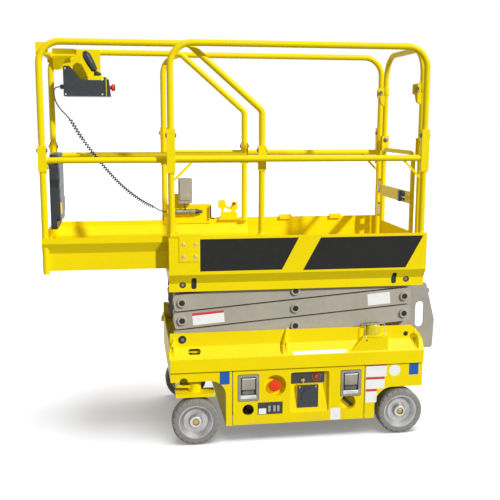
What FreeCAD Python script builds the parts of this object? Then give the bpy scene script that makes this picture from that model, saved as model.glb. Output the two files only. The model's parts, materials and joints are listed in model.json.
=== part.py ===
"""Compact electric scissor lift with a roll-out deck extension.

+Z is up, +X points to the entry end and -Y is the side with the ground controls.
The origin is on the floor, under the middle of the overall length and width.
"""
import FreeCAD, Part
import math
import os
import Sketcher

doc = FreeCAD.newDocument("scissor_lift")
sheet = doc.addObject("Spreadsheet::Sheet", "Sizes")

# ---------------------------------------------------------------- driving sizes
SIZES = {
    # base
    "wheelbase": 1063.0,
    "wheel_radius": 118.0,
    "tyre_width": 80.0,
    "tyre_wall": 32.0,
    "wheel_middle_y": 338.0,
    "base_front": 655.0,
    "base_rear": 647.0,
    "base_width": 760.0,
    "skirt_top": 571.0,
    "skirt_fold_top": 502.0,
    "skirt_fold_low": 445.0,
    "skirt_low": 379.0,
    "skirt_inset": 35.0,
    "base_plate": 6.0,
    "panel_inset": 12.0,
    "panel_low": 87.0,
    "deck_low": 468.0,
    "door_front": 346.0,
    "door_rear": 339.0,
    "seam": 5.0,
    "arch_rear_low": 251.0,
    "lug_plate": 10.0,
    "eye_radius": 5.0,
    "eye_inset": 27.0,
    "eye_height": 500.0,
    "arch_gap": 22.0,
    "front_arch_top": 327.0,
    "front_arch_end": 379.0,
    # steering
    "kingpin_y": 312.0,
    "kingpin_radius": 16.0,
    "steering_arm": 85.0,
    "axle_radius": 17.0,
    "running_fit": 0.08,
    "touch_gap": 0.3,
    # controls at the base
    "door_pin": 3.0,
    "stop_cup": 56.0,
    "lever_cup": 40.0,
    "cup_depth": 34.0,
    # scissor
    "pivot_front": 593.0,
    "pivot_height": 540.0,
    "arm_length": 1144.6,
    "arm_gap": 8.3,
    "arm_height": 82.0,
    "arm_width": 35.0,
    "arm_wall": 4.0,
    "arm_end": 38.0,
    "outer_arm_y": 307.5,
    "inner_arm_y": 257.5,
    "pin_radius": 14.0,
    "boss_radius": 24.0,
    "roller_radius": 38.0,
    "roller_width": 28.0,
    # lift cylinder
    "cylinder_foot": 300.0,
    "cylinder_foot_z": 505.0,
    "barrel_radius": 34.0,
    "rod_radius": 19.0,
    # platform
    "deck_top": 878.0,
    "deck_sheet": 5.0,
    "side_sheet": 4.0,
    "platform_front": 655.0,
    "platform_rear": 640.0,
    "side_y": 375.0,
    "side_top": 1055.0,
    "side_fold": 869.0,
    "side_fold_low": 822.0,
    "side_low": 780.0,
    "side_inset": 30.0,
    # guard rails
    "tube_radius": 16.5,
    "rail_top": 1980.0,
    "rail_bend": 105.0,
    "rail_mid": 1427.0,
    "rail_fold": 1537.0,
    "rail_joint": 1508.0,
    "rail_radius": 15.5,
    "sleeve_wall": 2.5,
    "sleeve_play": 1.5,
    "fold_bolt": 6.0,
    "sleeve_low": 1360.0,
    "sleeve_top": 1567.0,
    "rear_leg_y": 285.0,
    "rear_leg_back": 7.0,
    "rear_fold": 1500.0,
    "rear_bend": 130.0,
    "leg_radius": 14.5,
    "gate_hinge_low": 1075.0,
    "gate_hinge_high": 1210.0,
    "gate_top": 1447.0,
    "gate_inset": 31.0,
    "gate_tube": 12.0,
    "brace_drop": 115.0,
    "brace_width": 12.0,
    "foot_plate": 4.0,
    # extension
    "extension_front": 1253.0,
    "extension_rear": 170.0,
    "extension_travel": 500.0,
    "extension_low": 889.0,
    "extension_fold_low": 974.0,
    "extension_fold": 1024.0,
    "extension_top": 1052.0,
    "extension_y": 318.0,
    "extension_inset": 28.0,
    "extension_rail_y": 294.0,
    "extension_fold_bolt": 1465.0,
    "front_mid": 1380.0,
    "extension_mid": 1419.0,
    "bolt_stand": 8.0,
    # ladder
    "ladder_rear": 750.0,
    "ladder_y": 237.0,
    "ladder_plate": 8.0,
    # control cord
    "cord_radius": 11.0,
}


class Size:
    """A length in millimetres together with the sheet expression that gives it."""

    def __init__(self, value, text):
        self.value = float(value)
        self.text = text

    def __add__(self, other):
        other = size(other)
        return Size(self.value + other.value, "(%s + %s)" % (self.text, other.text))

    def __sub__(self, other):
        other = size(other)
        return Size(self.value - other.value, "(%s - %s)" % (self.text, other.text))

    def __mul__(self, other):
        other = size(other)
        return Size(self.value * other.value, "(%s * %s)" % (self.text, other.text))

    def __truediv__(self, other):
        other = size(other)
        return Size(self.value / other.value, "(%s / %s)" % (self.text, other.text))

    def __neg__(self):
        return Size(-self.value, "(0 - %s)" % self.text)

    def __radd__(self, other):
        return size(other) + self

    def __rsub__(self, other):
        return size(other) - self

    def __rmul__(self, other):
        return size(other) * self


def size(number):
    """Wraps a plain number, so that it can stand beside a named size."""
    return number if isinstance(number, Size) else Size(number, "(%r)" % float(number))


def cosine(angle):
    return Size(math.cos(math.radians(angle.value)), "cos(%s * 1 deg)" % angle.text)


def rise_angle(rise, length):
    """Angle in degrees at which a bar of this length climbs by the rise."""
    value = math.degrees(math.asin(rise.value / length.value))
    return Size(value, "(asin(%s / %s) / 1 deg)" % (rise.text, length.text))


S = {}
for row, (alias, number) in enumerate(SIZES.items(), start=1):
    sheet.set("A%d" % row, alias)
    sheet.set("B%d" % row, str(number))
    sheet.setAlias("B%d" % row, alias)
    S[alias] = Size(number, "Sizes.%s" % alias)
doc.recompute()


def bind(target, **sizes):
    """Binds properties to the sheet. Double underscores stand for the dots of a path."""
    for name, length in sizes.items():
        path = name.replace("__", ".")
        target.setExpression(path, size(length).text)


def place(target, x, y, z, rotation=None):
    """Puts an object at a point whose coordinates follow the sheet."""
    x, y, z = size(x), size(y), size(z)
    turn = rotation or FreeCAD.Rotation()
    target.Placement = FreeCAD.Placement(FreeCAD.Vector(x.value, y.value, z.value), turn)
    bind(target, Placement__Base__x=x, Placement__Base__y=y, Placement__Base__z=z)


# ---------------------------------------------------------------- shape helpers
PLANES = {"XY": "XY_Plane", "XZ": "XZ_Plane", "YZ": "YZ_Plane"}
ALONG = {
    "X": FreeCAD.Rotation(FreeCAD.Vector(0, 0, 1), FreeCAD.Vector(1, 0, 0)),
    "Y": FreeCAD.Rotation(FreeCAD.Vector(0, 0, 1), FreeCAD.Vector(0, 1, 0)),
    "Z": FreeCAD.Rotation(),
}
serial = 0


def label(stem):
    """Gives each feature a name of its own."""
    global serial
    serial += 1
    return "%s_%03d" % (stem, serial)


def box(x, y, z):
    """A block between pairs of limits."""
    block = doc.addObject("Part::Box", label("block"))
    bind(block, Length=x[1] - size(x[0]), Width=y[1] - size(y[0]), Height=z[1] - size(z[0]))
    place(block, x[0], y[0], z[0])
    return block


def ordered(first, second):
    """Two limits on one side of the middle plane, lower one first."""
    return (first, second) if size(first).value < size(second).value else (second, first)


def rod(axis, start, length, radius):
    """A round bar from a start point along a main axis."""
    bar = doc.addObject("Part::Cylinder", label("rod"))
    bind(bar, Radius=radius, Height=length)
    place(bar, *start, rotation=ALONG[axis])
    return bar


def fused(parts):
    joined = doc.addObject("Part::MultiFuse", label("joined"))
    joined.Shapes = parts
    joined.Refine = True
    return joined


def cut(base, tools):
    remainder = doc.addObject("Part::Cut", label("cut"))
    remainder.Base = base
    remainder.Tool = tools[0] if len(tools) == 1 else fused(tools)
    remainder.Refine = True
    return remainder


def corner(before, here, after, radius):
    """Start, middle and end of the arc that rounds a corner."""
    back = (before - here).normalize()
    ahead = (after - here).normalize()
    half = math.acos(max(-1.0, min(1.0, back.dot(ahead)))) / 2
    reach = radius / math.tan(half)
    bisector = (back + ahead).normalize()
    centre = here + bisector * (radius / math.sin(half))
    return here + back * reach, centre - bisector * radius, here + ahead * reach


def tie_point(sketch, geometry, point, along, across):
    """Ties a point of the sketch to the sheet, measured from the origin of the sketch."""
    for kind, distance in (("DistanceX", along), ("DistanceY", across)):
        if distance.value < 0:
            distance = -distance
            tie = Sketcher.Constraint(kind, geometry, point, -1, 1, distance.value)
        else:
            tie = Sketcher.Constraint(kind, -1, 1, geometry, point, distance.value)
        sketch.setExpression("Constraints[%d]" % sketch.addConstraint(tie), distance.text)


def trace(sketch, outline, closed):
    """Draws an outline of (a, b) or (a, b, corner radius) points in a sketch.

    Sharp outlines are tied to the sheet point by point.
    """
    points = [FreeCAD.Vector(size(p[0]).value, size(p[1]).value, 0) for p in outline]
    radii = [size(p[2]).value if len(p) > 2 else 0.0 for p in outline]
    count = len(points)
    ends = []
    for index in range(count):
        inner = closed or 0 < index < count - 1
        if radii[index] > 0 and inner:
            before = points[index - 1]
            after = points[(index + 1) % count]
            ends.append(corner(before, points[index], after, radii[index]))
        else:
            ends.append((points[index], None, points[index]))
    first = sketch.GeometryCount
    for index in range(count):
        if ends[index][1] is not None:
            sketch.addGeometry(Part.Arc(*ends[index]))
        if closed or index < count - 1:
            start = ends[index][2]
            stop = ends[(index + 1) % count][0]
            if (stop - start).Length > 1e-6:
                sketch.addGeometry(Part.LineSegment(start, stop))
    if not any(radii):
        lines = count if closed else count - 1
        for index in range(lines):
            along, across = size(outline[index][0]), size(outline[index][1])
            tie_point(sketch, first + index, 1, along, across)
            following = first + (index + 1) % lines
            if closed or index < lines - 1:
                sketch.addConstraint(Sketcher.Constraint("Coincident", first + index, 2, following, 1))


def sketch_in(body, plane):
    sketch = body.newObject("Sketcher::SketchObject", label("sketch"))
    flat = [item for item in body.Origin.OriginFeatures if item.Role == PLANES[plane]][0]
    sketch.AttachmentSupport = [(flat, "")]
    sketch.MapMode = "FlatFace"
    return sketch


def add_loops(sketch, outline, holes, windows):
    trace(sketch, outline, True)
    for window in windows:
        trace(sketch, window, True)
    for along, across, radius in holes:
        centre = FreeCAD.Vector(size(along).value, size(across).value, 0)
        circle = Part.Circle(centre, FreeCAD.Vector(0, 0, 1), size(radius).value)
        number = sketch.addGeometry(circle)
        tie_point(sketch, number, 3, size(along), size(across))
        tie = Sketcher.Constraint("Radius", number, size(radius).value)
        sketch.setExpression("Constraints[%d]" % sketch.addConstraint(tie), size(radius).text)


def plate(plane, outline, thickness, middle, holes=(), windows=()):
    """A flat piece: an outline padded evenly to both sides of its middle plane."""
    body = doc.addObject("PartDesign::Body", label("plate"))
    sketch = sketch_in(body, plane)
    add_loops(sketch, outline, holes, windows)
    pad = body.newObject("PartDesign::Pad", label("pad"))
    pad.Profile = sketch
    pad.Midplane = True
    bind(pad, Length=thickness)
    offset = {"XY": (0, 0, middle), "XZ": (0, middle, 0), "YZ": (middle, 0, 0)}[plane]
    place(body, *offset)
    return body


def turned(plane, axis, outline, x, y, z):
    """A turned piece: an outline revolved about a main axis of its plane."""
    body = doc.addObject("PartDesign::Body", label("turned"))
    sketch = sketch_in(body, plane)
    trace(sketch, outline, True)
    revolution = body.newObject("PartDesign::Revolution", label("revolution"))
    revolution.Profile = sketch
    revolution.ReferenceAxis = (sketch, ["H_Axis" if axis == "H" else "V_Axis"])
    revolution.Angle = 360
    place(body, x, y, z)
    return body


SKETCH_TURN = {
    "XY": FreeCAD.Rotation(),
    "XZ": FreeCAD.Rotation(FreeCAD.Vector(1, 0, 0), 90),
    "YZ": FreeCAD.Rotation(FreeCAD.Vector(1, 1, 1), 120),
}


def tube(plane, route, radius, middle):
    """A round tube bent along a route in one plane."""
    spine = doc.addObject("Sketcher::SketchObject", label("spine"))
    trace(spine, route, False)
    offset = {"XY": (0, 0, middle), "XZ": (0, middle, 0), "YZ": (middle, 0, 0)}[plane]
    turn = SKETCH_TURN[plane]
    place(spine, *offset, rotation=turn)
    start = FreeCAD.Vector(size(route[0][0]).value, size(route[0][1]).value, 0)
    after = FreeCAD.Vector(size(route[1][0]).value, size(route[1][1]).value, 0)
    circle = doc.addObject("Part::Circle", label("section"))
    bind(circle, Radius=radius)
    base = turn.multVec(start) + FreeCAD.Vector(*[size(v).value for v in offset])
    heading = FreeCAD.Rotation(FreeCAD.Vector(0, 0, 1), turn.multVec(after - start))
    circle.Placement = FreeCAD.Placement(base, heading)
    sweep = doc.addObject("Part::Sweep", label("tube"))
    sweep.Sections = [circle]
    sweep.Spine = (spine, ["Edge%d" % (n + 1) for n in range(spine.GeometryCount)])
    sweep.Solid = True
    sweep.Frenet = False
    return sweep


nodes = {}


def node(name, piece):
    """Registers a finished sub-part under the name of its file."""
    holder = piece
    holder.Label = name
    nodes[name] = holder
    return holder


# ---------------------------------------------------------------- shared places
front_reach = S["extension_front"] + S["bolt_stand"]
middle_x = (front_reach - S["ladder_rear"]) / 2


def at(distance):
    """X of a point that lies this far behind the middle of the wheelbase."""
    return middle_x + distance


front_wheel_x = at(-S["wheelbase"] / 2)
rear_wheel_x = at(S["wheelbase"] / 2)
half_base = S["base_width"] / 2
panel_y = half_base - S["panel_inset"]
stage = S["arm_height"] + S["arm_gap"]
stow_angle = rise_angle(stage, S["arm_length"])
arm_reach = S["arm_length"] * cosine(stow_angle)
pivot_x = at(-S["pivot_front"])
slider_x = pivot_x + arm_reach
knuckle_top = S["wheel_radius"] * 2 + 27
arm_low = knuckle_top + 23
beam_low = arm_low + 52


# ---------------------------------------------------------------- base
def skirt(side):
    """Bent upper side sheet: upright, slope and hanging lip."""
    outer = half_base
    inner = half_base - S["skirt_inset"]
    sheet_t = S["base_plate"]
    outline = [
        (side * inner, S["skirt_top"]),
        (side * inner, S["skirt_fold_top"]),
        (side * outer, S["skirt_fold_low"]),
        (side * outer, S["skirt_low"]),
        (side * (outer - sheet_t), S["skirt_low"]),
        (side * (outer - sheet_t), S["skirt_fold_low"] - 3),
        (side * (inner - sheet_t), S["skirt_fold_top"] - 3),
        (side * (inner - sheet_t), S["skirt_top"]),
    ]
    length = S["base_front"] + S["base_rear"]
    body = plate("YZ", outline, length, at((S["base_rear"] - S["base_front"]) / 2))
    # the rear top corner slopes down and the pivot pin passes through
    rear = at(S["base_rear"])
    slope = plate(
        "XZ",
        [
            (rear - 62, S["skirt_top"] + 1),
            (rear + 1, S["skirt_top"] + 1),
            (rear + 1, S["skirt_fold_top"] - 10),
            (rear - 16, S["skirt_fold_top"] + 24, 20),
        ],
        S["skirt_inset"],
        side * (inner - 3),
    )
    return cut(body, [slope])


def lower_panels(side):
    """Fixed lower side panels at the front and rear, with the wheel openings."""
    slope = (S["skirt_fold_top"] - S["skirt_fold_low"]) / S["skirt_inset"]
    climb = (S["panel_inset"] - S["base_plate"]) * slope
    top = S["skirt_fold_low"] - 3 + climb - S["touch_gap"]
    front = at(-S["base_front"])
    front_end = at(-S["door_front"]) - S["seam"] / 2
    arch_x = at(-S["front_arch_end"])
    front_panel = plate(
        "XZ",
        [
            (front, top),
            (front, S["front_arch_top"]),
            (arch_x, S["front_arch_top"], 80),
            (arch_x, S["panel_low"]),
            (front_end, S["panel_low"]),
            (front_end, top),
        ],
        S["base_plate"],
        side * (panel_y - S["base_plate"] / 2),
    )
    rear_end = at(S["base_rear"])
    rear_start = at(S["door_rear"]) + S["seam"] / 2
    arch = S["wheel_radius"] + S["arch_gap"]
    rear_panel = plate(
        "XZ",
        [
            (rear_start, S["panel_low"]),
            (rear_wheel_x - arch, S["panel_low"]),
            (rear_wheel_x - arch + 4, S["arch_rear_low"], 95),
            (rear_end, S["arch_rear_low"]),
            (rear_end, top),
            (rear_start, top),
        ],
        S["base_plate"],
        side * (panel_y - S["base_plate"] / 2),
    )
    return [front_panel, rear_panel]


def tie_down(side, x):
    """Triangular lug with an eye, standing out from the upper side."""
    wall = side * (half_base - S["skirt_inset"])
    outline = [
        (wall, S["skirt_fold_top"] + 50),
        (side * (half_base - 4), S["skirt_fold_low"] + 5),
        (wall, S["skirt_fold_low"] + 50),
    ]
    eye = (side * (half_base - S["eye_inset"]), S["eye_height"], S["eye_radius"])
    return plate("YZ", outline, S["lug_plate"], x, holes=[eye])


def base_side(side):
    """One side of the base: bent sheet, fixed panels, lugs and, at the control side, the lamp shelf."""
    front = at(-S["base_front"])
    rear = at(S["base_rear"])
    parts = [skirt(side)] + lower_panels(side)
    for x in (front + 20, at(-70), rear - 40):
        parts.append(tie_down(side, x))
    if side < 0:
        parts.append(beacon_shelf())
    start = ordered(side * (half_base - 60), side * (half_base + 10))[0]
    bore = rod("Y", (pivot_x, start, S["pivot_height"]), 70, pin_bore)
    slot = [(at(-566), 492, 13), (at(-504), 492, 13), (at(-504), 465, 13), (at(-566), 465, 13)]
    grip = plate("XZ", slot, 60, side * (half_base - 15))
    # round notch for a towing hook in the lower edge of the front panel
    notch_start = ordered(side * (panel_y - 12), side * (panel_y + 12))[0]
    notch = rod("Y", (at(-590), notch_start, S["front_arch_top"] + 1), 24, 20)
    return cut(fused(parts), [bore, grip, notch])


def base_frame():
    """Inner weldment of the base: deck, wells, pan, roller tracks and cylinder ears."""
    front = at(-S["base_front"])
    rear = at(S["base_rear"])
    deck_wide = half_base - S["skirt_inset"] - S["base_plate"] - S["touch_gap"]
    deck_high = S["deck_low"] + S["base_plate"]
    parts = []
    parts.append(box((front, rear), (-deck_wide, deck_wide), (S["deck_low"], deck_high)))
    under = S["panel_low"]
    inside = panel_y - S["base_plate"] - S["touch_gap"]
    well_front = at(-S["front_arch_end"])
    well_rear = at(S["door_rear"] + 20)
    step = S["skirt_fold_low"] + 8
    for x in (well_front, well_rear):
        parts.append(box((x, x + S["base_plate"]), (-inside, inside), (under, step)))
        parts.append(box((x, x + S["base_plate"]), (-deck_wide, deck_wide), (step, deck_high)))
    parts.append(box((well_front, well_rear + 6), (-230, 230), (under, under + 6)))
    for x, low in ((front, S["front_arch_top"]), (rear - S["base_plate"], S["arch_rear_low"])):
        parts.append(box((x, x + S["base_plate"]), (-inside, inside), (low, step)))
        parts.append(box((x, x + S["base_plate"]), (-deck_wide, deck_wide), (step, S["skirt_fold_top"])))
    # hinge pins of the side panels
    for side in (-1, 1):
        for x, length in ((well_front, 72), (well_rear - 62, 66)):
            parts.append(rod("X", (x, side * door_hinge_y, door_hinge_z), length, S["door_pin"]))
    # roller tracks for the sliding foot of the scissor
    track_top = S["pivot_height"] - S["roller_radius"] - S["touch_gap"]
    for side in (-1, 1):
        low = side * 192
        high = side * 232
        span = (low, high) if side > 0 else (high, low)
        parts.append(box((at(-110), at(600)), span, (S["deck_low"], track_top)))
    # trunnion ears for the lift cylinder
    foot_x = at(-S["cylinder_foot"])
    for y in (-58, 44):
        ear = plate(
            "XZ",
            [
                (foot_x - 40, S["deck_low"] + 3),
                (foot_x + 40, S["deck_low"] + 3),
                (foot_x + 22, S["cylinder_foot_z"] + 22, 20),
                (foot_x - 22, S["cylinder_foot_z"] + 22, 20),
            ],
            14,
            y + 7,
        )
        parts.append(ear)
    return cut(fused(parts), [rod("Y", (foot_x, -70, S["cylinder_foot_z"]), 140, 14 + S["running_fit"])])


pin_bore = S["pin_radius"] + S["running_fit"]
door_hinge_y = panel_y - 12
door_hinge_z = S["panel_low"] + 7


def front_axle():
    """Cross beam that carries the two kingpins."""
    low = beam_low
    high = S["deck_low"]
    x0 = front_wheel_x - 42
    x1 = front_wheel_x + 42
    wide = S["kingpin_y"] + 42
    beam = box((x0, x1), (-wide, wide), (low, low + 60))
    web = box((front_wheel_x - 12, front_wheel_x + 12), (-wide, wide), (low + 60, high))
    tools = []
    for side in (-1, 1):
        bore = S["kingpin_radius"] + S["running_fit"]
        tools.append(rod("Z", (front_wheel_x, side * S["kingpin_y"], low - 5), 50, bore))
    return cut(fused([beam, web]), tools)


def rear_axle():
    """Axle beam with hanger plates and two stub axles."""
    centre = S["wheel_radius"]
    inner_face = S["wheel_middle_y"] - S["tyre_width"] / 2 - 10
    beam = box((rear_wheel_x - 32, rear_wheel_x + 32), (-inner_face, inner_face), (centre - 32, centre + 32))
    hangers = []
    for side in (-1, 1):
        y0 = side * (inner_face - 40)
        outline = [
            (rear_wheel_x - 32, centre),
            (rear_wheel_x + 32, centre),
            (rear_wheel_x + 80, S["deck_low"]),
            (rear_wheel_x - 80, S["deck_low"]),
        ]
        hangers.append(plate("XZ", outline, 12, y0))
    axle_end = S["wheel_middle_y"] + 26
    stub = rod("Y", (rear_wheel_x, -axle_end, centre), axle_end * 2, S["axle_radius"])
    return fused([beam, stub] + hangers)


def battery():
    """Battery pack as one plain block."""
    low = S["panel_low"] + 6
    return box((at(-250), at(250)), (-200, 200), (low, low + 210))


def ladder():
    """Two side plates with hand slots, joined by two treads."""
    end = at(S["ladder_rear"])
    start = at(S["base_rear"])
    outline = [
        (start - 50, S["skirt_fold_top"]),
        (start, S["skirt_fold_top"]),
        (start, 415),
        (end - 5, 415, 16),
        (end, 570),
        (end - 52, 770, 14),
        (start - 50, 770),
    ]
    slot = [
        (end - 105, 668, 21),
        (end - 105, 532, 21),
        (end - 60, 532, 21),
        (end - 60, 668, 21),
    ]
    parts = []
    for side in (-1, 1):
        parts.append(plate("XZ", outline, S["ladder_plate"], side * S["ladder_y"], windows=[slot]))
    wide = S["ladder_y"]
    for z in (440, 715):
        parts.append(box((end - 95, end - 30), (-wide, wide), (z, z + 20)))
    return fused(parts)


def beacon_shelf():
    """Folded shelf under the flashing lamp, with a slanted front end."""
    x0 = at(252)
    x1 = at(455)
    wall = -(half_base - S["skirt_inset"])
    out = -(half_base - 4)
    outline = [
        (wall + 1, S["skirt_fold_top"] + 21),
        (out, S["skirt_fold_top"] + 21),
        (out, S["skirt_fold_low"] + 4),
        (wall + 1, S["skirt_fold_low"] + 40),
    ]
    shelf = plate("YZ", outline, x1 - x0, (x0 + x1) / 2)
    slant = plate(
        "XZ",
        [
            (x0 - 1, S["skirt_fold_low"]),
            (x0 - 1, S["skirt_fold_top"] + 22),
            (at(324), S["skirt_fold_top"] + 22),
            (x0, S["skirt_fold_low"] + 4),
        ],
        80,
        -(half_base + 5),
    )
    return cut(shelf, [slant])


def beacon():
    """Flashing lamp at the control side: half-round domed lens on a rounded foot."""
    x0 = at(343)
    x1 = at(428)
    back = -(half_base - S["skirt_inset"]) - S["touch_gap"]
    front = -(half_base - 5)
    low = S["skirt_fold_top"] + 21
    foot = plate("XY", [(x0, back), (x1, back), (x1, front, 14), (x0, front, 14)], 8, low + 4)
    # half outline of the lens, from its foot to the top of its dome
    lens = [(0, 6), (27, 6), (27, 20, 4), (24, 48, 10), (12, 60, 6), (0, 60.5)]
    dome = turned("XZ", "V", lens, (x0 + x1) / 2, back, low)
    return fused([foot, cut(dome, [box((x0, x1), (back, back + 40), (low, low + 80))])])


# ---------------------------------------------------------------- doors
STOP_X, STOP_Z = at(-129), size(287)
LEVER_X, LEVER_Z = at(252), size(180)


def side_door(side):
    """Drop-down side panel, hinged along its lower edge."""
    x0 = at(-S["door_front"]) + S["seam"] / 2
    x1 = at(S["door_rear"]) - S["seam"] / 2
    windows = []
    if side < 0:
        windows = [
            [(at(-49), 352, 12), (at(151), 352, 12), (at(151), 139, 12), (at(-49), 139, 12)],
            [(at(-219), 202, 4), (at(-90), 202, 4), (at(-90), 136, 4), (at(-219), 136, 4)],
        ]
    holes = [(at(-267), 166, 29)]
    if side < 0:
        holes += [(STOP_X, STOP_Z, S["stop_cup"]), (LEVER_X, LEVER_Z, S["lever_cup"])]
    outline = [
        (x0, S["panel_low"] + 1),
        (x1, S["panel_low"] + 1),
        (x1, S["skirt_low"] - S["seam"] / 2),
        (x0, S["skirt_low"] - S["seam"] / 2),
    ]
    panel = plate("XZ", outline, S["base_plate"], side * (panel_y - 3), holes=holes, windows=windows)
    parts = [panel]
    bores = []
    # hinge knuckles at the lower corners
    for x in (x0 + 3, x1 - 43):
        parts.append(rod("X", (x, side * door_hinge_y, door_hinge_z), 40, 6))
        web = ordered(side * door_hinge_y, side * (panel_y - 3))
        parts.append(box((x, x + 40), web, (door_hinge_z - 5, door_hinge_z + 5)))
        start = (x - 1, side * door_hinge_y, door_hinge_z)
        bores.append(rod("X", start, 42, S["door_pin"] + S["running_fit"]))
    if side > 0:
        return cut(fused(parts), bores)
    inside = -(panel_y - S["base_plate"])
    for x, z, radius in ((STOP_X, STOP_Z, S["stop_cup"]), (LEVER_X, LEVER_Z, S["lever_cup"])):
        cup = rod("Y", (x, inside, z), S["cup_depth"], radius + 4)
        hollow = rod("Y", (x, inside - 1, z), S["cup_depth"] - 2, radius)
        parts.append(cut(cup, [hollow]))
    return cut(fused(parts), bores)


def door_latches(side):
    """Two flush paddle latches: frame, sprung paddle above and lip below the thumb pocket."""
    parts = []
    for x in (at(-318), at(213)):
        frame = [(x, 214, 6), (x + 104, 214, 6), (x + 104, 351, 6), (x, 351, 6)]
        pocket = [(x + 12, 226, 4), (x + 92, 226, 4), (x + 92, 339, 4), (x + 12, 339, 4)]
        paddle = [(x + 11, 262), (x + 93, 262), (x + 93, 340), (x + 11, 340)]
        lip = [(x + 11, 225), (x + 93, 225), (x + 93, 236), (x + 11, 236)]
        parts.append(plate("XZ", frame, 4, side * (panel_y + 2), windows=[pocket]))
        parts.append(plate("XZ", paddle, 3, side * (panel_y + 1.5)))
        parts.append(plate("XZ", lip, 3, side * (panel_y + 1.5)))
    return fused(parts)


def ground_controls():
    """Pocket behind the control-side panel: sloped back, flared end, control face and charging inlet."""
    front = -(panel_y - S["base_plate"])
    back = front + 40
    low = 132
    top = 352
    x0 = at(-55)
    x1 = at(157)
    lining = [(front, low), (front, low + 5), (back - 5, top), (front, top), (front, top + 8)]
    pocket = plate("YZ", lining + [(back, top + 8), (back, top), (front + 8, low)], x1 - x0, (x0 + x1) / 2)
    ends = []
    for x in (x0, x1 - 5):
        cheek = [(front, low), (front, top + 8), (back, top + 8), (back, top), (front + 8, low)]
        ends.append(plate("YZ", cheek, 5, x + 2.5))
    # what stands on the slope: flared end wall, control face and charging inlet
    face = box((at(-48), at(134)), (back - 22, back), (286, 350))
    inlet = box((at(-14), at(97)), (front + 3, back - 8), (161, 281))
    flare = [(x1 - 5, front), (x1, front), (x1, back), (at(100), back)]
    wall = plate("XY", flare, top - low - 10, (top + low) / 2)
    slant = [(front, low + 5), (back - 5, top), (back + 20, top), (back + 20, low + 5)]
    slope = plate("YZ", slant, 300, at(60))
    return fused([pocket, face, cut(inlet, [slope]), cut(wall, [slope])] + ends)


def stop_button():
    """Large emergency stop on the floor of its cup."""
    floor = -(panel_y - S["base_plate"]) + S["cup_depth"] - 3
    neck = rod("Y", (STOP_X, floor - 14, STOP_Z), 14, 14)
    cap = rod("Y", (STOP_X, floor - 30, STOP_Z), 16, 21)
    return fused([neck, cap])


def release_lever():
    """Hand lever in the round cup at the rear of the panel."""
    floor = -(panel_y - S["base_plate"]) + S["cup_depth"] - 3
    outline = [
        (LEVER_X - 24, LEVER_Z + 30),
        (LEVER_X - 32, LEVER_Z + 18),
        (LEVER_X + 22, LEVER_Z - 30),
        (LEVER_X + 31, LEVER_Z - 19),
    ]
    return plate("XZ", outline, 16, floor - 8)


def battery_meter():
    """Meter plate behind the small window of the panel."""
    front = -(panel_y - S["base_plate"])
    return box((at(-225), at(-84)), (front, front + 6), (130, 208))


# ---------------------------------------------------------------- steering and wheels
def knuckle(side):
    """Steering knuckle: top plate, kingpin, steering arm, inner cheek and stub axle."""
    y = side * S["kingpin_y"]
    top = knuckle_top
    inner_face = S["wheel_middle_y"] - S["tyre_width"] / 2 - 8
    low_y = side * (inner_face - 12)
    high_y = side * (S["wheel_middle_y"] + 30)
    span = (low_y, high_y) if side > 0 else (high_y, low_y)
    roof = box((front_wheel_x - 98, front_wheel_x + 98), span, (top - 17, top))
    cheek_span = (low_y, side * inner_face) if side > 0 else (side * inner_face, low_y)
    cheek = box((front_wheel_x - 50, front_wheel_x + 50), cheek_span, (62, top))
    boss = rod("Z", (front_wheel_x, y, top), beam_low - top - 1, 32)
    kingpin = rod("Z", (front_wheel_x, y, top), beam_low - top + 40, S["kingpin_radius"])
    ball_x = front_wheel_x - S["steering_arm"]
    arm = plate(
        "XY",
        [
            (ball_x - 15, y - 16, 14),
            (ball_x - 15, y + 16, 14),
            (front_wheel_x, y + 24),
            (front_wheel_x, y - 24),
        ],
        14,
        arm_low + 7,
    )
    axle_in = side * (inner_face - 6)
    axle_out = side * (S["wheel_middle_y"] + 26)
    start = axle_in if side > 0 else axle_out
    length = axle_out - axle_in if side > 0 else axle_in - axle_out
    stub = rod("Y", (front_wheel_x, start, S["wheel_radius"]), length, S["axle_radius"])
    motor_in = side * (inner_face - 72)
    motor_out = side * (inner_face - 6)
    motor_start = motor_in if side > 0 else motor_out
    motor = rod("Y", (front_wheel_x, motor_start, S["wheel_radius"]), 66, 52)
    body = fused([roof, cheek, boss, kingpin, arm, stub, motor])
    hole = rod("Z", (ball_x, y, arm_low - 3), 20, 8 + S["running_fit"])
    return cut(body, [hole])


def tie_rod():
    """Rod between the two steering arms."""
    ball_x = front_wheel_x - S["steering_arm"]
    height = arm_low + 25
    bar = rod("Y", (ball_x, -S["kingpin_y"], height), S["kingpin_y"] * 2, 8)
    parts = [bar]
    for side in (-1, 1):
        y = side * S["kingpin_y"]
        parts.append(rod("Z", (ball_x, y, arm_low + 14 + S["touch_gap"]), 20, 14))
        parts.append(rod("Z", (ball_x, y, arm_low + 1), 20, 8))
    return fused(parts)


def tyre(x, side):
    """Solid tyre ring."""
    half = S["tyre_width"] / 2
    rim = S["wheel_radius"] - S["tyre_wall"]
    outline = [
        (-half, rim + 1),
        (-half, S["wheel_radius"] - 7, 6),
        (-half + 8, S["wheel_radius"], 8),
        (half - 8, S["wheel_radius"], 8),
        (half, S["wheel_radius"] - 7, 6),
        (half, rim + 1),
    ]
    return turned("YZ", "H", outline, x, side * S["wheel_middle_y"], S["wheel_radius"])


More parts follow.
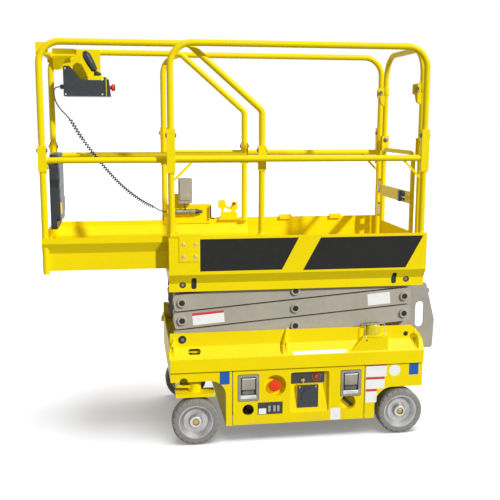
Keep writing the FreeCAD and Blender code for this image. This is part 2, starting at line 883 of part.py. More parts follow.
def rim(x, side):
    """Dished wheel disc with its hub."""
    half = S["tyre_width"] / 2
    edge = S["wheel_radius"] - S["tyre_wall"] + 0.7
    bore = S["axle_radius"] + S["running_fit"]
    out = side
    outline = [
        (out * (half - 2), edge),
        (out * (half - 2), edge - 6),
        (out * (half - 24), edge - 26),
        (out * (half - 26), 36),
        (out * (half - 8), 30),
        (out * (half - 8), bore),
        (-out * (half - 14), bore),
        (-out * (half - 14), 40),
        (-out * (half - 30), edge - 22),
        (-out * (half - 2), edge - 8),
        (-out * (half - 2), edge),
    ]
    return turned("YZ", "H", outline, x, side * S["wheel_middle_y"], S["wheel_radius"])


# ---------------------------------------------------------------- scissor
def arm(y, low_end, rising, bores, pins=()):
    """One rectangular scissor arm with rounded ends, bosses and bores.

    It is drawn along +X from its front pin and then tilted to the stowed angle.
    """
    half = S["arm_height"] / 2
    end = S["arm_end"]
    length = S["arm_length"]
    outline = [
        (-end, -half, 15),
        (length + end, -half, 15),
        (length + end, half, 15),
        (-end, half, 15),
    ]
    body = plate("XZ", outline, S["arm_width"], 0, holes=[(along, 0, radius) for along, radius in bores])
    tilt = FreeCAD.Rotation(FreeCAD.Vector(0, -1, 0), stow_angle.value if rising else -stow_angle.value)
    place(body, pivot_x, y, low_end, rotation=tilt)
    return body


def scissor_outer(step):
    """Outer arm pair of one stage: it rises towards the rear."""
    z0 = S["pivot_height"] + stage * step
    ends = S["outer_arm_y"] + S["arm_width"] / 2
    parts = []
    for side in (-1, 1):
        parts.append(arm(side * S["outer_arm_y"], z0, True, ()))
    head = 8 if step == 0 else 7
    left = ends + head if step else half_base - S["skirt_inset"] + 3
    parts.append(rod("Y", (pivot_x, -left, z0), left * 2, S["pin_radius"]))
    for side in (-1, 1):
        inner = S["inner_arm_y"] - S["arm_width"] / 2 - 4
        start = inner if side > 0 else -(ends + 7)
        length = ends + 7 - inner
        parts.append(rod("Y", (pivot_x + arm_reach / 2, start, z0 + stage / 2), length, S["pin_radius"]))
        parts.append(rod("Y", (slider_x, start, z0 + stage), length, S["pin_radius"]))
        if step == 2:
            low = inner if side > 0 else -(inner + S["roller_width"])
            parts.append(rod("Y", (slider_x, low, z0 + stage), S["roller_width"], S["roller_radius"]))
    return fused(parts)


def scissor_inner(step):
    """Inner arm pair of one stage: it falls towards the rear."""
    low = S["pivot_height"] + stage * step
    high = low + stage
    half = S["arm_length"] / 2
    bores = [(half, pin_bore)]
    if step < 2:
        bores.append((size(0), pin_bore))
    if step > 0:
        bores.append((S["arm_length"], pin_bore))
    parts = []
    for side in (-1, 1):
        parts.append(arm(side * S["inner_arm_y"], high, False, bores))
    wide = S["inner_arm_y"]
    share = 0.1
    tube_x = pivot_x + arm_reach * share
    tube_z = high - stage * share
    parts.append(rod("Y", (tube_x, -wide, tube_z), wide * 2, 22))
    if step == 0:
        foot_x = slider_x - arm_reach * share
        foot_z = low + stage * share
        parts.append(rod("Y", (foot_x, -wide, foot_z), wide * 2, 18))
        for side in (-1, 1):
            inner = S["inner_arm_y"] - S["arm_width"] / 2 - 8 - S["roller_width"]
            start = inner if side > 0 else -(inner + S["roller_width"])
            parts.append(rod("Y", (slider_x, start, low), S["roller_width"], S["roller_radius"]))
            start = inner if side > 0 else -S["inner_arm_y"]
            parts.append(rod("Y", (slider_x, start, low), S["inner_arm_y"] - inner, S["pin_radius"]))
    if step == 2:
        reach = S["outer_arm_y"] + S["arm_width"] / 2 + 7
        parts.append(rod("Y", (pivot_x, -reach, high), reach * 2, S["pin_radius"]))
    return fused(parts)


cylinder_rise = S["pivot_height"] + stage - S["cylinder_foot_z"]
cylinder_run = slider_x - at(-S["cylinder_foot"])
cylinder_tilt = math.degrees(math.atan2(cylinder_rise.value, cylinder_run.value))
cylinder_length = math.hypot(cylinder_rise.value, cylinder_run.value)


def along_cylinder(piece):
    """Tilts a piece drawn along +X from the cylinder's foot."""
    turn = FreeCAD.Rotation(FreeCAD.Vector(0, -1, 0), cylinder_tilt)
    place(piece, at(-S["cylinder_foot"]), 0, S["cylinder_foot_z"], rotation=turn)
    return piece


def lift_barrel():
    """Cylinder barrel with its foot eye and trunnion pin."""
    barrel_end = 560
    outline = [
        (22, 0),
        (22, S["barrel_radius"]),
        (barrel_end, S["barrel_radius"]),
        (barrel_end, S["rod_radius"] + 0.05),
        (50, S["rod_radius"] + 0.05),
        (50, 0),
    ]
    barrel = turned("XZ", "H", outline, 0, 0, 0)
    along_cylinder(barrel)
    foot_x = at(-S["cylinder_foot"])
    foot = S["cylinder_foot_z"]
    eye = rod("Y", (foot_x, -42, foot), 84, 28)
    pin = rod("Y", (foot_x, -60, foot), 120, 14)
    return fused([barrel, eye, pin])


def lift_rod():
    """Chromed rod with its crosshead."""
    end = cylinder_length - 20
    outline = [(60, 0), (60, S["rod_radius"]), (end, S["rod_radius"]), (end, 0)]
    bar = turned("XZ", "H", outline, 0, 0, 0)
    along_cylinder(bar)
    high = S["pivot_height"] + stage
    reach = S["inner_arm_y"] - S["arm_width"] / 2 - 12
    head = rod("Y", (slider_x, -reach, high), reach * 2, S["pin_radius"])
    eye = rod("Y", (slider_x, -30, high), 60, 30)
    return fused([bar, head, eye])


# ---------------------------------------------------------------- platform
def platform_deck():
    """Deck sheet with its bent side panels, guides and scissor brackets."""
    front = at(-S["platform_front"])
    rear = at(S["platform_rear"])
    outer = S["side_y"]
    inner = S["side_y"] - S["side_inset"]
    wall = S["side_sheet"]
    parts = []
    for side in (-1, 1):
        outline = [
            (side * outer, S["side_top"]),
            (side * outer, S["side_fold"]),
            (side * inner, S["side_fold_low"]),
            (side * inner, S["side_low"]),
            (side * (inner - wall), S["side_low"]),
            (side * (inner - wall), S["side_fold_low"] + 2),
            (side * (outer - wall), S["side_fold"] + 2),
            (side * (outer - wall), S["side_top"]),
        ]
        parts.append(plate("YZ", outline, S["platform_front"] + S["platform_rear"], (front + rear) / 2))
        # slide pads for the extension
        pad_in = S["extension_y"] - S["extension_inset"] - 34
        low = side * pad_in
        high = side * (pad_in + 30)
        span = (low, high) if side > 0 else (high, low)
        parts.append(box((front, rear - 60), span, (S["deck_top"] - 1, S["extension_low"] - S["touch_gap"])))
        # roller track under the deck
        track_in = S["inner_arm_y"] - S["arm_width"] / 2 - 6
        track = (side * track_in, side * (track_in + 32))
        if side < 0:
            track = (track[1], track[0])
        track_low = S["pivot_height"] + stage * 3 + S["roller_radius"] + S["touch_gap"]
        parts.append(box((at(-110), rear - 20), track, (track_low, S["deck_top"] - 1)))
        # pivot bracket at the front
        bracket = plate(
            "XZ",
            [
                (pivot_x - 40, S["deck_top"] - 2),
                (pivot_x - 40, S["pivot_height"] + stage * 3 - 25, 15),
                (pivot_x + 40, S["pivot_height"] + stage * 3 - 25, 15),
                (pivot_x + 40, S["deck_top"] - 2),
            ],
            12,
            side * S["outer_arm_y"],
            holes=[(pivot_x, S["pivot_height"] + stage * 3, pin_bore)],
        )
        parts.append(bracket)
    # guide blocks on the far side sheet's top edge
    for start, end in ((26, 96), (326, 392)):
        parts.append(box((at(start), at(end)), (outer - 20, outer), (S["side_top"] - 12, S["side_top"] + 13)))
    deck_wide = outer - 2
    sheet_low = S["deck_top"] - S["deck_sheet"]
    parts.append(box((front, rear), (-deck_wide, deck_wide), (sheet_low, S["deck_top"])))
    low_wide = inner - 2
    for x in (front, rear - 5):
        parts.append(box((x, x + 5), (-low_wide, low_wide), (S["side_low"] + 50, S["deck_top"])))
    # grip slots and round holes in the folded lower edge
    tools = []
    for side in (-1, 1):
        for x in (at(-534), at(482)):
            slot = [(x - 13, 852, 12), (x + 13, 852, 12), (x + 13, 792, 12), (x - 13, 792, 12)]
            tools.append(plate("XZ", slot, 70, side * (outer - 15)))
        for x in (at(-589), at(548)):
            start = ordered(side * (outer - 60), side * (outer + 10))[0]
            tools.append(rod("Y", (x, start, 814), 70, 16))
    return cut(fused(parts), tools)


fixed_hoop_y = S["side_y"] - S["side_sheet"] - S["rail_radius"] - 1
hoop_front = at(-S["platform_front"]) + S["tube_radius"]
hoop_rear = at(S["platform_rear"]) - S["tube_radius"] - 9
rail_z = S["rail_top"] - S["tube_radius"]
rear_leg_x = hoop_rear + S["rear_leg_back"]


def sleeve(x, y, side, low, high, bolt):
    """Channel round a fold: web outside the tube, two flanges and a sole that carries them."""
    web = side * (y + S["rail_radius"] + S["touch_gap"])
    outer = side * (y + S["rail_radius"] + S["touch_gap"] + S["sleeve_wall"])
    inner = side * (y - 12)
    half = S["rail_radius"] + S["sleeve_play"] + S["sleeve_wall"]
    parts = [
        box((x - half, x + half), ordered(web, outer), (low, high)),
        box((x - half, x + half), ordered(inner, outer), (low, low + 6)),
    ]
    for edge in (x - half, x + half - S["sleeve_wall"]):
        parts.append(box((edge, edge + S["sleeve_wall"]), ordered(inner, outer), (low, high)))
    bore = rod("X", (x - half - 1, side * y, bolt), half * 2 + 2, S["fold_bolt"] + S["running_fit"])
    return cut(fused(parts), [bore])


def fold_bolt(x, y, z):
    """Bolt across a sleeve."""
    reach = S["tube_radius"] + S["bolt_stand"]
    return rod("X", (x - reach, y, z), reach * 2, S["fold_bolt"])


def brace(x, inward, y):
    """Slanted bar between a post and the mid rail."""
    drop = S["brace_drop"]
    wide = S["brace_width"]
    level = S["rail_mid"] - 8
    outline = [
        (x, level - drop),
        (x + inward * drop, level),
        (x + inward * (drop - wide * 1.4), level),
        (x, level - drop + wide * 1.4),
    ]
    return plate("XZ", outline, 6, y)


def rail_base(side):
    """Fixed lower rail: two posts, their sleeves and the mid rail."""
    y = side * fixed_hoop_y
    parts = []
    for x in (hoop_front, hoop_rear):
        parts.append(rod("Z", (x, y, S["deck_top"]), S["rail_joint"] - S["deck_top"], S["rail_radius"]))
        parts.append(sleeve(x, fixed_hoop_y, side, S["sleeve_low"], S["sleeve_top"], S["rail_fold"]))
    length = hoop_rear - hoop_front
    parts.append(rod("X", (hoop_front, y, S["rail_mid"]), length, S["rail_radius"]))
    for x, inward in ((hoop_front, 1), (hoop_rear, -1)):
        parts.append(brace(x, inward, y))
    # bolted plate on the outside of the deck's side sheet
    plate_in = side * S["side_y"]
    plate_out = side * (S["side_y"] + S["foot_plate"])
    parts.append(box((at(-606), at(-510)), ordered(plate_in, plate_out), (935, 1066)))
    parts.append(box((hoop_front - 10, at(-510)), ordered(y, plate_out), (S["side_top"], 1066)))
    return fused(parts)


def top_hoop(side):
    """Upper guard rail hoop with the bolts on which it folds."""
    low = S["rail_joint"] + S["touch_gap"]
    y = side * fixed_hoop_y
    route = [
        (hoop_front, low),
        (hoop_front, rail_z, S["rail_bend"]),
        (hoop_rear, rail_z, S["rail_bend"]),
        (hoop_rear, low),
    ]
    parts = [tube("XZ", route, S["rail_radius"], y)]
    for x in (hoop_front, hoop_rear):
        parts.append(fold_bolt(x, y, S["rail_fold"]))
    return fused(parts)


def rear_posts():
    """Two posts with forks for the rear hoop and lugs for the gate."""
    fold = S["rear_fold"]
    parts = []
    bores = []
    for side in (-1, 1):
        y = side * S["rear_leg_y"]
        parts.append(rod("Z", (rear_leg_x, y, S["deck_top"]), fold - 24 - S["deck_top"], S["leg_radius"]))
        for edge in (-20, 16):
            cheek = (y + edge, y + edge + 4)
            parts.append(box((rear_leg_x - 20, rear_leg_x + 20), cheek, (fold - 60, fold + 22)))
        parts.append(box((rear_leg_x - 20, rear_leg_x + 20), (y - 20, y + 20), (fold - 64, fold - 58)))
        bores.append(rod("Y", (rear_leg_x, y - 30, fold), 60, 8 + S["running_fit"]))
    for z in (S["gate_hinge_low"], S["gate_hinge_high"]):
        for low in (z - 10, z + 61):
            ear = (gate_hinge_y - 8, S["rear_leg_y"])
            parts.append(box((gate_hinge_x - 8, rear_leg_x), ear, (low, low + 9)))
        parts.append(rod("Z", (gate_hinge_x, gate_hinge_y, z - 6), 72, 4))
    return cut(fused(parts), bores)


def rear_hoop():
    """Hoop over the entry that folds forward on two pins."""
    route = [
        (-S["rear_leg_y"], S["rear_fold"] + 20),
        (-S["rear_leg_y"], rail_z, S["rear_bend"]),
        (S["rear_leg_y"], rail_z, S["rear_bend"]),
        (S["rear_leg_y"], S["rear_fold"] + 20),
    ]
    parts = [tube("YZ", route, S["leg_radius"], rear_leg_x)]
    for side in (-1, 1):
        y = side * S["rear_leg_y"]
        parts.append(rod("Z", (rear_leg_x, y, S["rear_fold"] - 4), 26, 12))
        parts.append(rod("Y", (rear_leg_x, y - 24, S["rear_fold"]), 48, 8))
    return fused(parts)


gate_hinge_x = rear_leg_x - 34
gate_hinge_y = S["rear_leg_y"] - S["gate_inset"]


def gate():
    """Entry gate that swings inward: rounded frame, bar plate and kick plate."""
    x = rear_leg_x - 20
    near = -(S["rear_leg_y"] - 44)
    far = S["rear_leg_y"] - 56
    top = S["gate_top"]
    low = S["extension_low"] + 11
    route = [
        (near, low + 60),
        (near, top, 45),
        (far, top, 45),
        (far, low + 60),
    ]
    parts = [tube("YZ", route, S["gate_tube"], x)]
    inner_face = x - S["gate_tube"]
    parts.append(box((inner_face - 2, inner_face + 2), (near - 12, far + 4), (1187, 1250)))
    parts.append(box((x - 3, x + 3), (near - 8, far + 8), (low, S["side_top"] - 12)))
    bores = []
    for z in (S["gate_hinge_low"], S["gate_hinge_high"]):
        parts.append(box((gate_hinge_x - 3, x), (far, gate_hinge_y), (z, z + 60)))
        parts.append(rod("Z", (gate_hinge_x, gate_hinge_y, z), 60, 7))
        bores.append(rod("Z", (gate_hinge_x, gate_hinge_y, z - 1), 62, 4 + S["running_fit"]))
    return cut(fused(parts), bores)


# ---------------------------------------------------------------- extension
extension_start = at(-S["extension_front"])
extension_end = at(-S["extension_rear"])
extension_post = extension_start + S["tube_radius"]
extension_back_post = extension_end - 22


def extension_deck():
    """Roll-out deck with bent sides and a closed front."""
    outer = S["extension_y"]
    inner = outer - S["extension_inset"]
    wall = 3
    parts = []
    for side in (-1, 1):
        outline = [
            (side * outer, S["extension_top"]),
            (side * outer, S["extension_fold"]),
            (side * inner, S["extension_fold_low"]),
            (side * inner, S["extension_low"]),
            (side * (inner - wall), S["extension_low"]),
            (side * (inner - wall), S["extension_fold_low"] + 1.5),
            (side * (outer - wall), S["extension_fold"] + 1.5),
            (side * (outer - wall), S["extension_top"]),
        ]
        length = S["extension_front"] - S["extension_rear"]
        parts.append(plate("YZ", outline, length, (extension_start + extension_end) / 2))
    low = S["extension_low"]
    across = (-(inner - 1), inner - 1)
    parts.append(box((extension_start, extension_end), across, (low, low + 5)))
    parts.append(box((extension_start, extension_start + 4), across, (low, S["extension_top"])))
    # lower posts, their sleeves and the front mid rail
    joint = S["extension_fold_bolt"] - 29
    for side in (-1, 1):
        y = side * S["extension_rail_y"]
        foot_low = S["extension_top"] - S["foot_plate"]
        foot_y = ordered(side * (S["extension_rail_y"] - 16), side * S["extension_y"])
        foot_x = (extension_back_post - 20, extension_back_post + 20)
        parts.append(box(foot_x, foot_y, (foot_low, S["extension_top"])))
        for x, low in ((extension_post, S["deck_top"] - 2), (extension_back_post, foot_low + 1)):
            parts.append(rod("Z", (x, y, low), joint - low, S["rail_radius"]))
            top = S["extension_fold_bolt"] + 22
            parts.append(sleeve(x, S["extension_rail_y"], side, joint - 70, top, S["extension_fold_bolt"]))
        length = extension_back_post - extension_post
        parts.append(rod("X", (extension_post, y, S["extension_mid"]), length, S["leg_radius"]))
    across = S["extension_rail_y"]
    parts.append(rod("Y", (extension_post, -across, S["front_mid"]), across * 2, S["leg_radius"]))
    return fused(parts)


def extension_rail(side):
    """Side rail of the extension: hoop with a sloping rear corner."""
    y = side * S["extension_rail_y"]
    low = S["extension_fold_bolt"] - 29 + S["touch_gap"]
    route = [
        (extension_post, low),
        (extension_post, rail_z, 100),
        (at(-545), rail_z, 40),
        (extension_back_post, S["rail_top"] - 325, 40),
        (extension_back_post, low),
    ]
    parts = [tube("XZ", route, S["rail_radius"], y)]
    for x in (extension_post, extension_back_post):
        parts.append(fold_bolt(x, y, S["extension_fold_bolt"]))
    return fused(parts)


def extension_front_rail():
    """Top rail across the front, with the square plates that clip it to the side hoops."""
    reach = S["extension_rail_y"] - S["rail_radius"] - S["touch_gap"]
    height = rail_z - 30
    parts = [rod("Y", (extension_post, -reach, height), reach * 2, S["leg_radius"])]
    for side in (-1, 1):
        span = ordered(side * reach, side * (reach - 5))
        parts.append(box((extension_post - 13, extension_post + 42), span, (height - 28, rail_z - 3)))
    return fused(parts)


def control_box():
    """Platform control box: sloping case, face plate, end plate with stop, joystick and cord gland."""
    y = S["extension_rail_y"] - 95
    low = rail_z - 235.5
    case = plate(
        "XZ",
        [
            (at(-1160), low, 4),
            (at(-952), low, 4),
            (at(-952), low + 96, 4),
            (at(-1032), low + 96, 3),
            (at(-1037), low + 84, 6),
            (at(-1072), low + 84, 10),
            (at(-1128), low + 154, 8),
            (at(-1160), low + 154, 6),
        ],
        150,
        y,
    )
    face = plate("XZ", [(at(-952), low), (at(-940), low), (at(-940), low + 98), (at(-952), low + 98)], 158, y)
    end = plate("XZ", [(at(-940), low), (at(-921), low), (at(-930), low + 88), (at(-940), low + 88)], 138, y)
    stem = rod("X", (at(-940), y, low + 48), 30, 9)
    head = rod("X", (at(-917), y, low + 48), 19, 16)
    gland = rod("X", (at(-1182), y, low + 50), 24, 12)
    pedestal = box((at(-1016), at(-960)), (y - 30, y + 30), (low + 95, low + 104))
    stick = turned("XZ", "V", JOYSTICK, at(-988), y, low + 109)
    lean = FreeCAD.Rotation(FreeCAD.Vector(0, 1, 0), -JOYSTICK_LEAN)
    stick.Placement = FreeCAD.Placement(stick.Placement.Base, lean)
    return fused([case, face, end, stem, head, gland, pedestal, stick])


# joystick: half outline of the boot, neck and grip, and how far it leans forward in degrees
JOYSTICK = [
    (0, -6),
    (21, -6),
    (18, 8),
    (8, 20),
    (8, 27, 2),
    (17, 32, 6),
    (21, 70, 12),
    (22, 118, 12),
    (12, 136, 6),
    (0, 138),
]
JOYSTICK_LEAN = 28


def control_hanger():
    """Bent sheet that hooks on the far rail and carries the control box."""
    face = S["extension_rail_y"] - S["rail_radius"] - S["touch_gap"]
    low = rail_z - 218.5
    top = rail_z + 12.5
    back = plate(
        "XZ",
        [
            (at(-1099), top, 6),
            (at(-974), top, 6),
            (at(-974), low),
            (at(-1150), low),
            (at(-1158), low + 123, 6),
            (at(-1192), low + 130, 4),
            (at(-1161), low + 189, 30),
            (at(-1099), low + 204, 8),
        ],
        4,
        face - 2,
    )
    shelf = box((at(-1150), at(-974)), (S["extension_rail_y"] - 95 + 75, face - 2), (low, low + 5))
    wing = plate(
        "YZ",
        [
            (face - 60, top - 1),
            (face - 42, top - 27),
            (face - 42, top - 37),
            (face - 4, top - 106),
            (face - 1, top - 106),
            (face - 39, top - 36),
            (face - 39, top - 27),
            (face - 57, top - 1),
        ],
        116,
        at(-1162),
    )
    notch = plate(
        "XZ",
        [
            (at(-1090), top - 38),
            (at(-1112), top - 38, 10),
            (at(-1153), top - 52, 30),
            (at(-1188), top - 107),
            (at(-1090), top - 107),
        ],
        80,
        face - 25,
    )
    tongue = box((at(-1112), at(-1095)), (face - 58, face - 2), (top - 6, top - 2))
    return fused([back, shelf, cut(wing, [notch]), tongue])


def document_box():
    """Closed box for papers, strapped behind the front mid rail, with its lid and a chamfered corner."""
    x0 = extension_post + S["leg_radius"] + S["touch_gap"]
    outline = [(-150, 1400, 14), (150, 1400, 14), (150, 1105, 6), (115, 1070, 6), (-150, 1070, 14)]
    lid = [(-144, 1394, 10), (144, 1394, 10), (144, 1246, 10), (-144, 1246, 10)]
    return fused([plate("YZ", outline, 30, x0 + 15), plate("YZ", lid, 8, x0 + 30)])


def cord_socket():
    """Bracket with the plug socket of the control cord, bolted inside the far side sheet."""
    outer = S["extension_y"] - 3
    base = box((at(-645), at(-383)), (outer - 8, outer), (1032, 1140))
    upright = box((at(-600), at(-500)), (outer - 8, outer), (1138, 1200))
    socket = rod("X", (at(-585), outer - 27, 1100), 115, 14)
    foot = box((at(-560), at(-500)), (outer - 27, outer - 8), (1088, 1112))
    gland = rod("X", (at(-631), outer - 29, 1104), 34, 12)
    clip = box((at(-626), at(-600)), (outer - 29, outer - 7.5), (1096, 1112))
    return fused([base, upright, socket, foot, gland, clip])


def outlet_box():
    """Small grey box on the socket bracket, with a rounded case and a raised lid."""
    back = S["extension_y"] - 11 - S["touch_gap"]
    case = [(at(-566), 1149, 8), (at(-489), 1149, 8), (at(-489), 1290, 8), (at(-566), 1290, 8)]
    lid = [(at(-559), 1168, 5), (at(-496), 1168, 5), (at(-496), 1283, 5), (at(-559), 1283, 5)]
    return fused([plate("XZ", case, 38, back - 19), plate("XZ", lid, 10, back - 39)])


def extension_latch():
    """Release handle of the extension on the far side sheet: paddle, bridge and hook."""
    y = S["extension_y"] - 15
    low = S["extension_top"]
    outlines = [
        [(at(-336), low), (at(-212), low), (at(-212), low + 8, 5), (at(-336), low + 8, 5)],
        [
            (at(-342), low + 70, 4),
            (at(-318), low + 56, 8),
            (at(-296), low + 72, 6),
            (at(-303), low + 112, 6),
            (at(-337), low + 108, 6),
        ],
        [(at(-331), low + 4), (at(-317), low + 4), (at(-305), low + 66), (at(-319), low + 66)],
        [
            (at(-301), low + 66),
            (at(-280), low + 54, 10),
            (at(-262), low + 58),
            (at(-262), low + 74),
            (at(-282), low + 72, 10),
            (at(-298), low + 84),
        ],
        [
            (at(-268), low + 4),
            (at(-236), low + 4),
            (at(-243), low + 46, 12),
            (at(-228), low + 64, 6),
            (at(-230), low + 98, 6),
            (at(-263), low + 100, 6),
        ],
    ]
    return fused([plate("XZ", outline, wide, y) for outline, wide in zip(outlines, (26, 22, 6, 10, 18))])


CORD_POINTS = [
    (-1182.3, 199, 1778),
    (-1212, 199, 1778),
    (-1217, 202, 1738),
    (-1207, 205, 1696),
    (-1186, 208, 1662),
    (-1158, 211, 1634),
    (-1131, 214, 1600),
    (-1090, 219, 1524),
    (-1030, 226, 1438),
    (-966, 234, 1354),
    (-888, 243, 1263),
    (-806, 254, 1191),
    (-730, 268, 1140),
    (-693, 280, 1126),
    (-664, 286, 1104),
    (-631.3, 286, 1104),
]


def control_cord():
    """Curly cord, drawn as one round tube of the coil's outer size."""
    points = [FreeCAD.Vector(at(x).value, y, z) for x, y, z in CORD_POINTS]
    edges = []
    start = points[0]
    for index in range(1, len(points) - 1):
        before, here, after = points[index - 1], points[index], points[index + 1]
        back = before - here
        ahead = after - here
        turn = math.pi - back.getAngle(ahead)
        shorter = min(back.Length, ahead.Length)
        radius = 0.45 * shorter / math.tan(turn / 2)
        first, middle, last = corner(before, here, after, radius)
        edges.append(Part.LineSegment(start, first).toShape())
        edges.append(Part.Arc(first, middle, last).toShape())
        start = last
    edges.append(Part.LineSegment(start, points[-1]).toShape())
    spine = Part.Wire(edges)
    section = Part.Wire(Part.Circle(points[0], points[1] - points[0], S["cord_radius"].value).toShape())
    solid = spine.makePipeShell([section], True, False)
    print("cord length %.0f volume ratio %.4f" % (
        spine.Length, solid.Volume / (spine.Length * math.pi * S["cord_radius"].value ** 2)))
    cord = doc.addObject("Part::Feature", "cord")
    cord.Shape = solid
    return cord


# ---------------------------------------------------------------- the lift
node("base_frame", base_frame())
for side, word in ((-1, "near"), (1, "far")):
    node("base_side_" + word, base_side(side))
node("front_axle", front_axle())
node("rear_axle", rear_axle())
node("battery_pack", battery())
node("entry_ladder", ladder())
node("beacon", beacon())
for side, word in ((-1, "near"), (1, "far")):
    node("side_door_" + word, side_door(side))
    node("door_latches_" + word, door_latches(side))
    node("steering_knuckle_" + word, knuckle(side))
    for x, end in ((front_wheel_x, "front"), (rear_wheel_x, "rear")):
        node("tyre_%s_%s" % (end, word), tyre(x, side))
        node("rim_%s_%s" % (end, word), rim(x, side))
    node("rail_base_" + word, rail_base(side))
    node("top_rail_" + word, top_hoop(side))
    node("extension_rail_" + word, extension_rail(side))
node("ground_controls", ground_controls())
node("stop_button", stop_button())
node("release_lever", release_lever())
node("battery_meter", battery_meter())
node("tie_rod", tie_rod())
for step in range(3):
    node("scissor_outer_%d" % (step + 1), scissor_outer(step))
    node("scissor_inner_%d" % (step + 1), scissor_inner(step))
node("lift_barrel", lift_barrel())
node("lift_rod", lift_rod())
node("platform_deck", platform_deck())
node("rear_posts", rear_posts())
node("rear_rail", rear_hoop())
node("entry_gate", gate())
node("extension_deck", extension_deck())
node("extension_front_rail", extension_front_rail())
node("control_box", control_box())
node("control_hanger", control_hanger())
node("document_box", document_box())
node("cord_socket", cord_socket())
node("outlet_box", outlet_box())
node("extension_latch", extension_latch())
node("control_cord", control_cord())

doc.recompute()
for item in doc.Objects:
    if "Invalid" in item.State or "Error" in item.State:
        raise RuntimeError("%s failed: %s" % (item.Label, item.State))
os.makedirs("parts", exist_ok=True)
for name, piece in nodes.items():
    if piece.Shape.isNull() or not piece.Shape.isValid():
        raise RuntimeError("%s has no valid shape" % name)
for name, piece in nodes.items():
    piece.Shape.exportStep("parts/%s.step" % name)
print("%d sub-parts written" % len(nodes))
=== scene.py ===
"""Looks of the compact scissor lift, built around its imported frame."""

import json
import math

import bmesh
import bpy
from mathutils import Matrix, Vector

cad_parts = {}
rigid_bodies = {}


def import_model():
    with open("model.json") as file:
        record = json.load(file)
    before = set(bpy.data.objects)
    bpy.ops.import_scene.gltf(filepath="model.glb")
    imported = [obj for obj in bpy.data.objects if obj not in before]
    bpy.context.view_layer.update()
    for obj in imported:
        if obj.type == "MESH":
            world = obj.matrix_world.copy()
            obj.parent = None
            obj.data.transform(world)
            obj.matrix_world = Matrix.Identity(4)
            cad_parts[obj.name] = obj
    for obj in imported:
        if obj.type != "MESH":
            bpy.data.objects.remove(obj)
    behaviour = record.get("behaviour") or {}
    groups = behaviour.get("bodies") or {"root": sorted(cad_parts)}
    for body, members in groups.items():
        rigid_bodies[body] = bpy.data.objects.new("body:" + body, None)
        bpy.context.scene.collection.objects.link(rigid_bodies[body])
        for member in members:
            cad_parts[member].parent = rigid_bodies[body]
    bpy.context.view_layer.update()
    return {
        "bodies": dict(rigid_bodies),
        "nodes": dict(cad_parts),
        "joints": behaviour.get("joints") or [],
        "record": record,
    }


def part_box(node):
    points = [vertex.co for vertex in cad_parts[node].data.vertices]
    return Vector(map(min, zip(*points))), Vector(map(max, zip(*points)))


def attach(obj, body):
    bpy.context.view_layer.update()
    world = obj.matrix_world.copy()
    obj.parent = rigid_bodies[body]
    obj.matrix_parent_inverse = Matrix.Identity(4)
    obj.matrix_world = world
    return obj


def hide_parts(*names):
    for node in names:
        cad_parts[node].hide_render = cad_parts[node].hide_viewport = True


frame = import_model()

# ---- places
NODES = frame["nodes"]
SIDES = ((-1, "near"), (1, "far"))


def middle(node):
    """Middle of a node's box."""
    low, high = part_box(node)
    return (low + high) / 2


# middle of the wheelbase on the floor, which every plan distance is taken from
BASE_X = (middle("tyre_front_near").x + middle("tyre_rear_near").x) / 2


def along(distance):
    """X of a place this many metres behind the middle of the wheelbase."""
    return BASE_X + distance


# ---- finishes
class Value:
    """A socket in a finish. Arithmetic on it adds Math nodes."""

    def __init__(self, finish, socket):
        self.finish = finish
        self.socket = socket

    def maths(self, operation, first, second):
        return self.finish.add("Math", {0: first, 1: second}, operation=operation)

    def __add__(self, other):
        return self.maths("ADD", self, other)

    __radd__ = __add__

    def __sub__(self, other):
        return self.maths("SUBTRACT", self, other)

    def __rsub__(self, other):
        return self.maths("SUBTRACT", other, self)

    def __mul__(self, other):
        return self.maths("MULTIPLY", self, other)

    __rmul__ = __mul__

    def at_least(self, other):
        return self.maths("MAXIMUM", self, other)

    def at_most(self, other):
        return self.maths("MINIMUM", self, other)


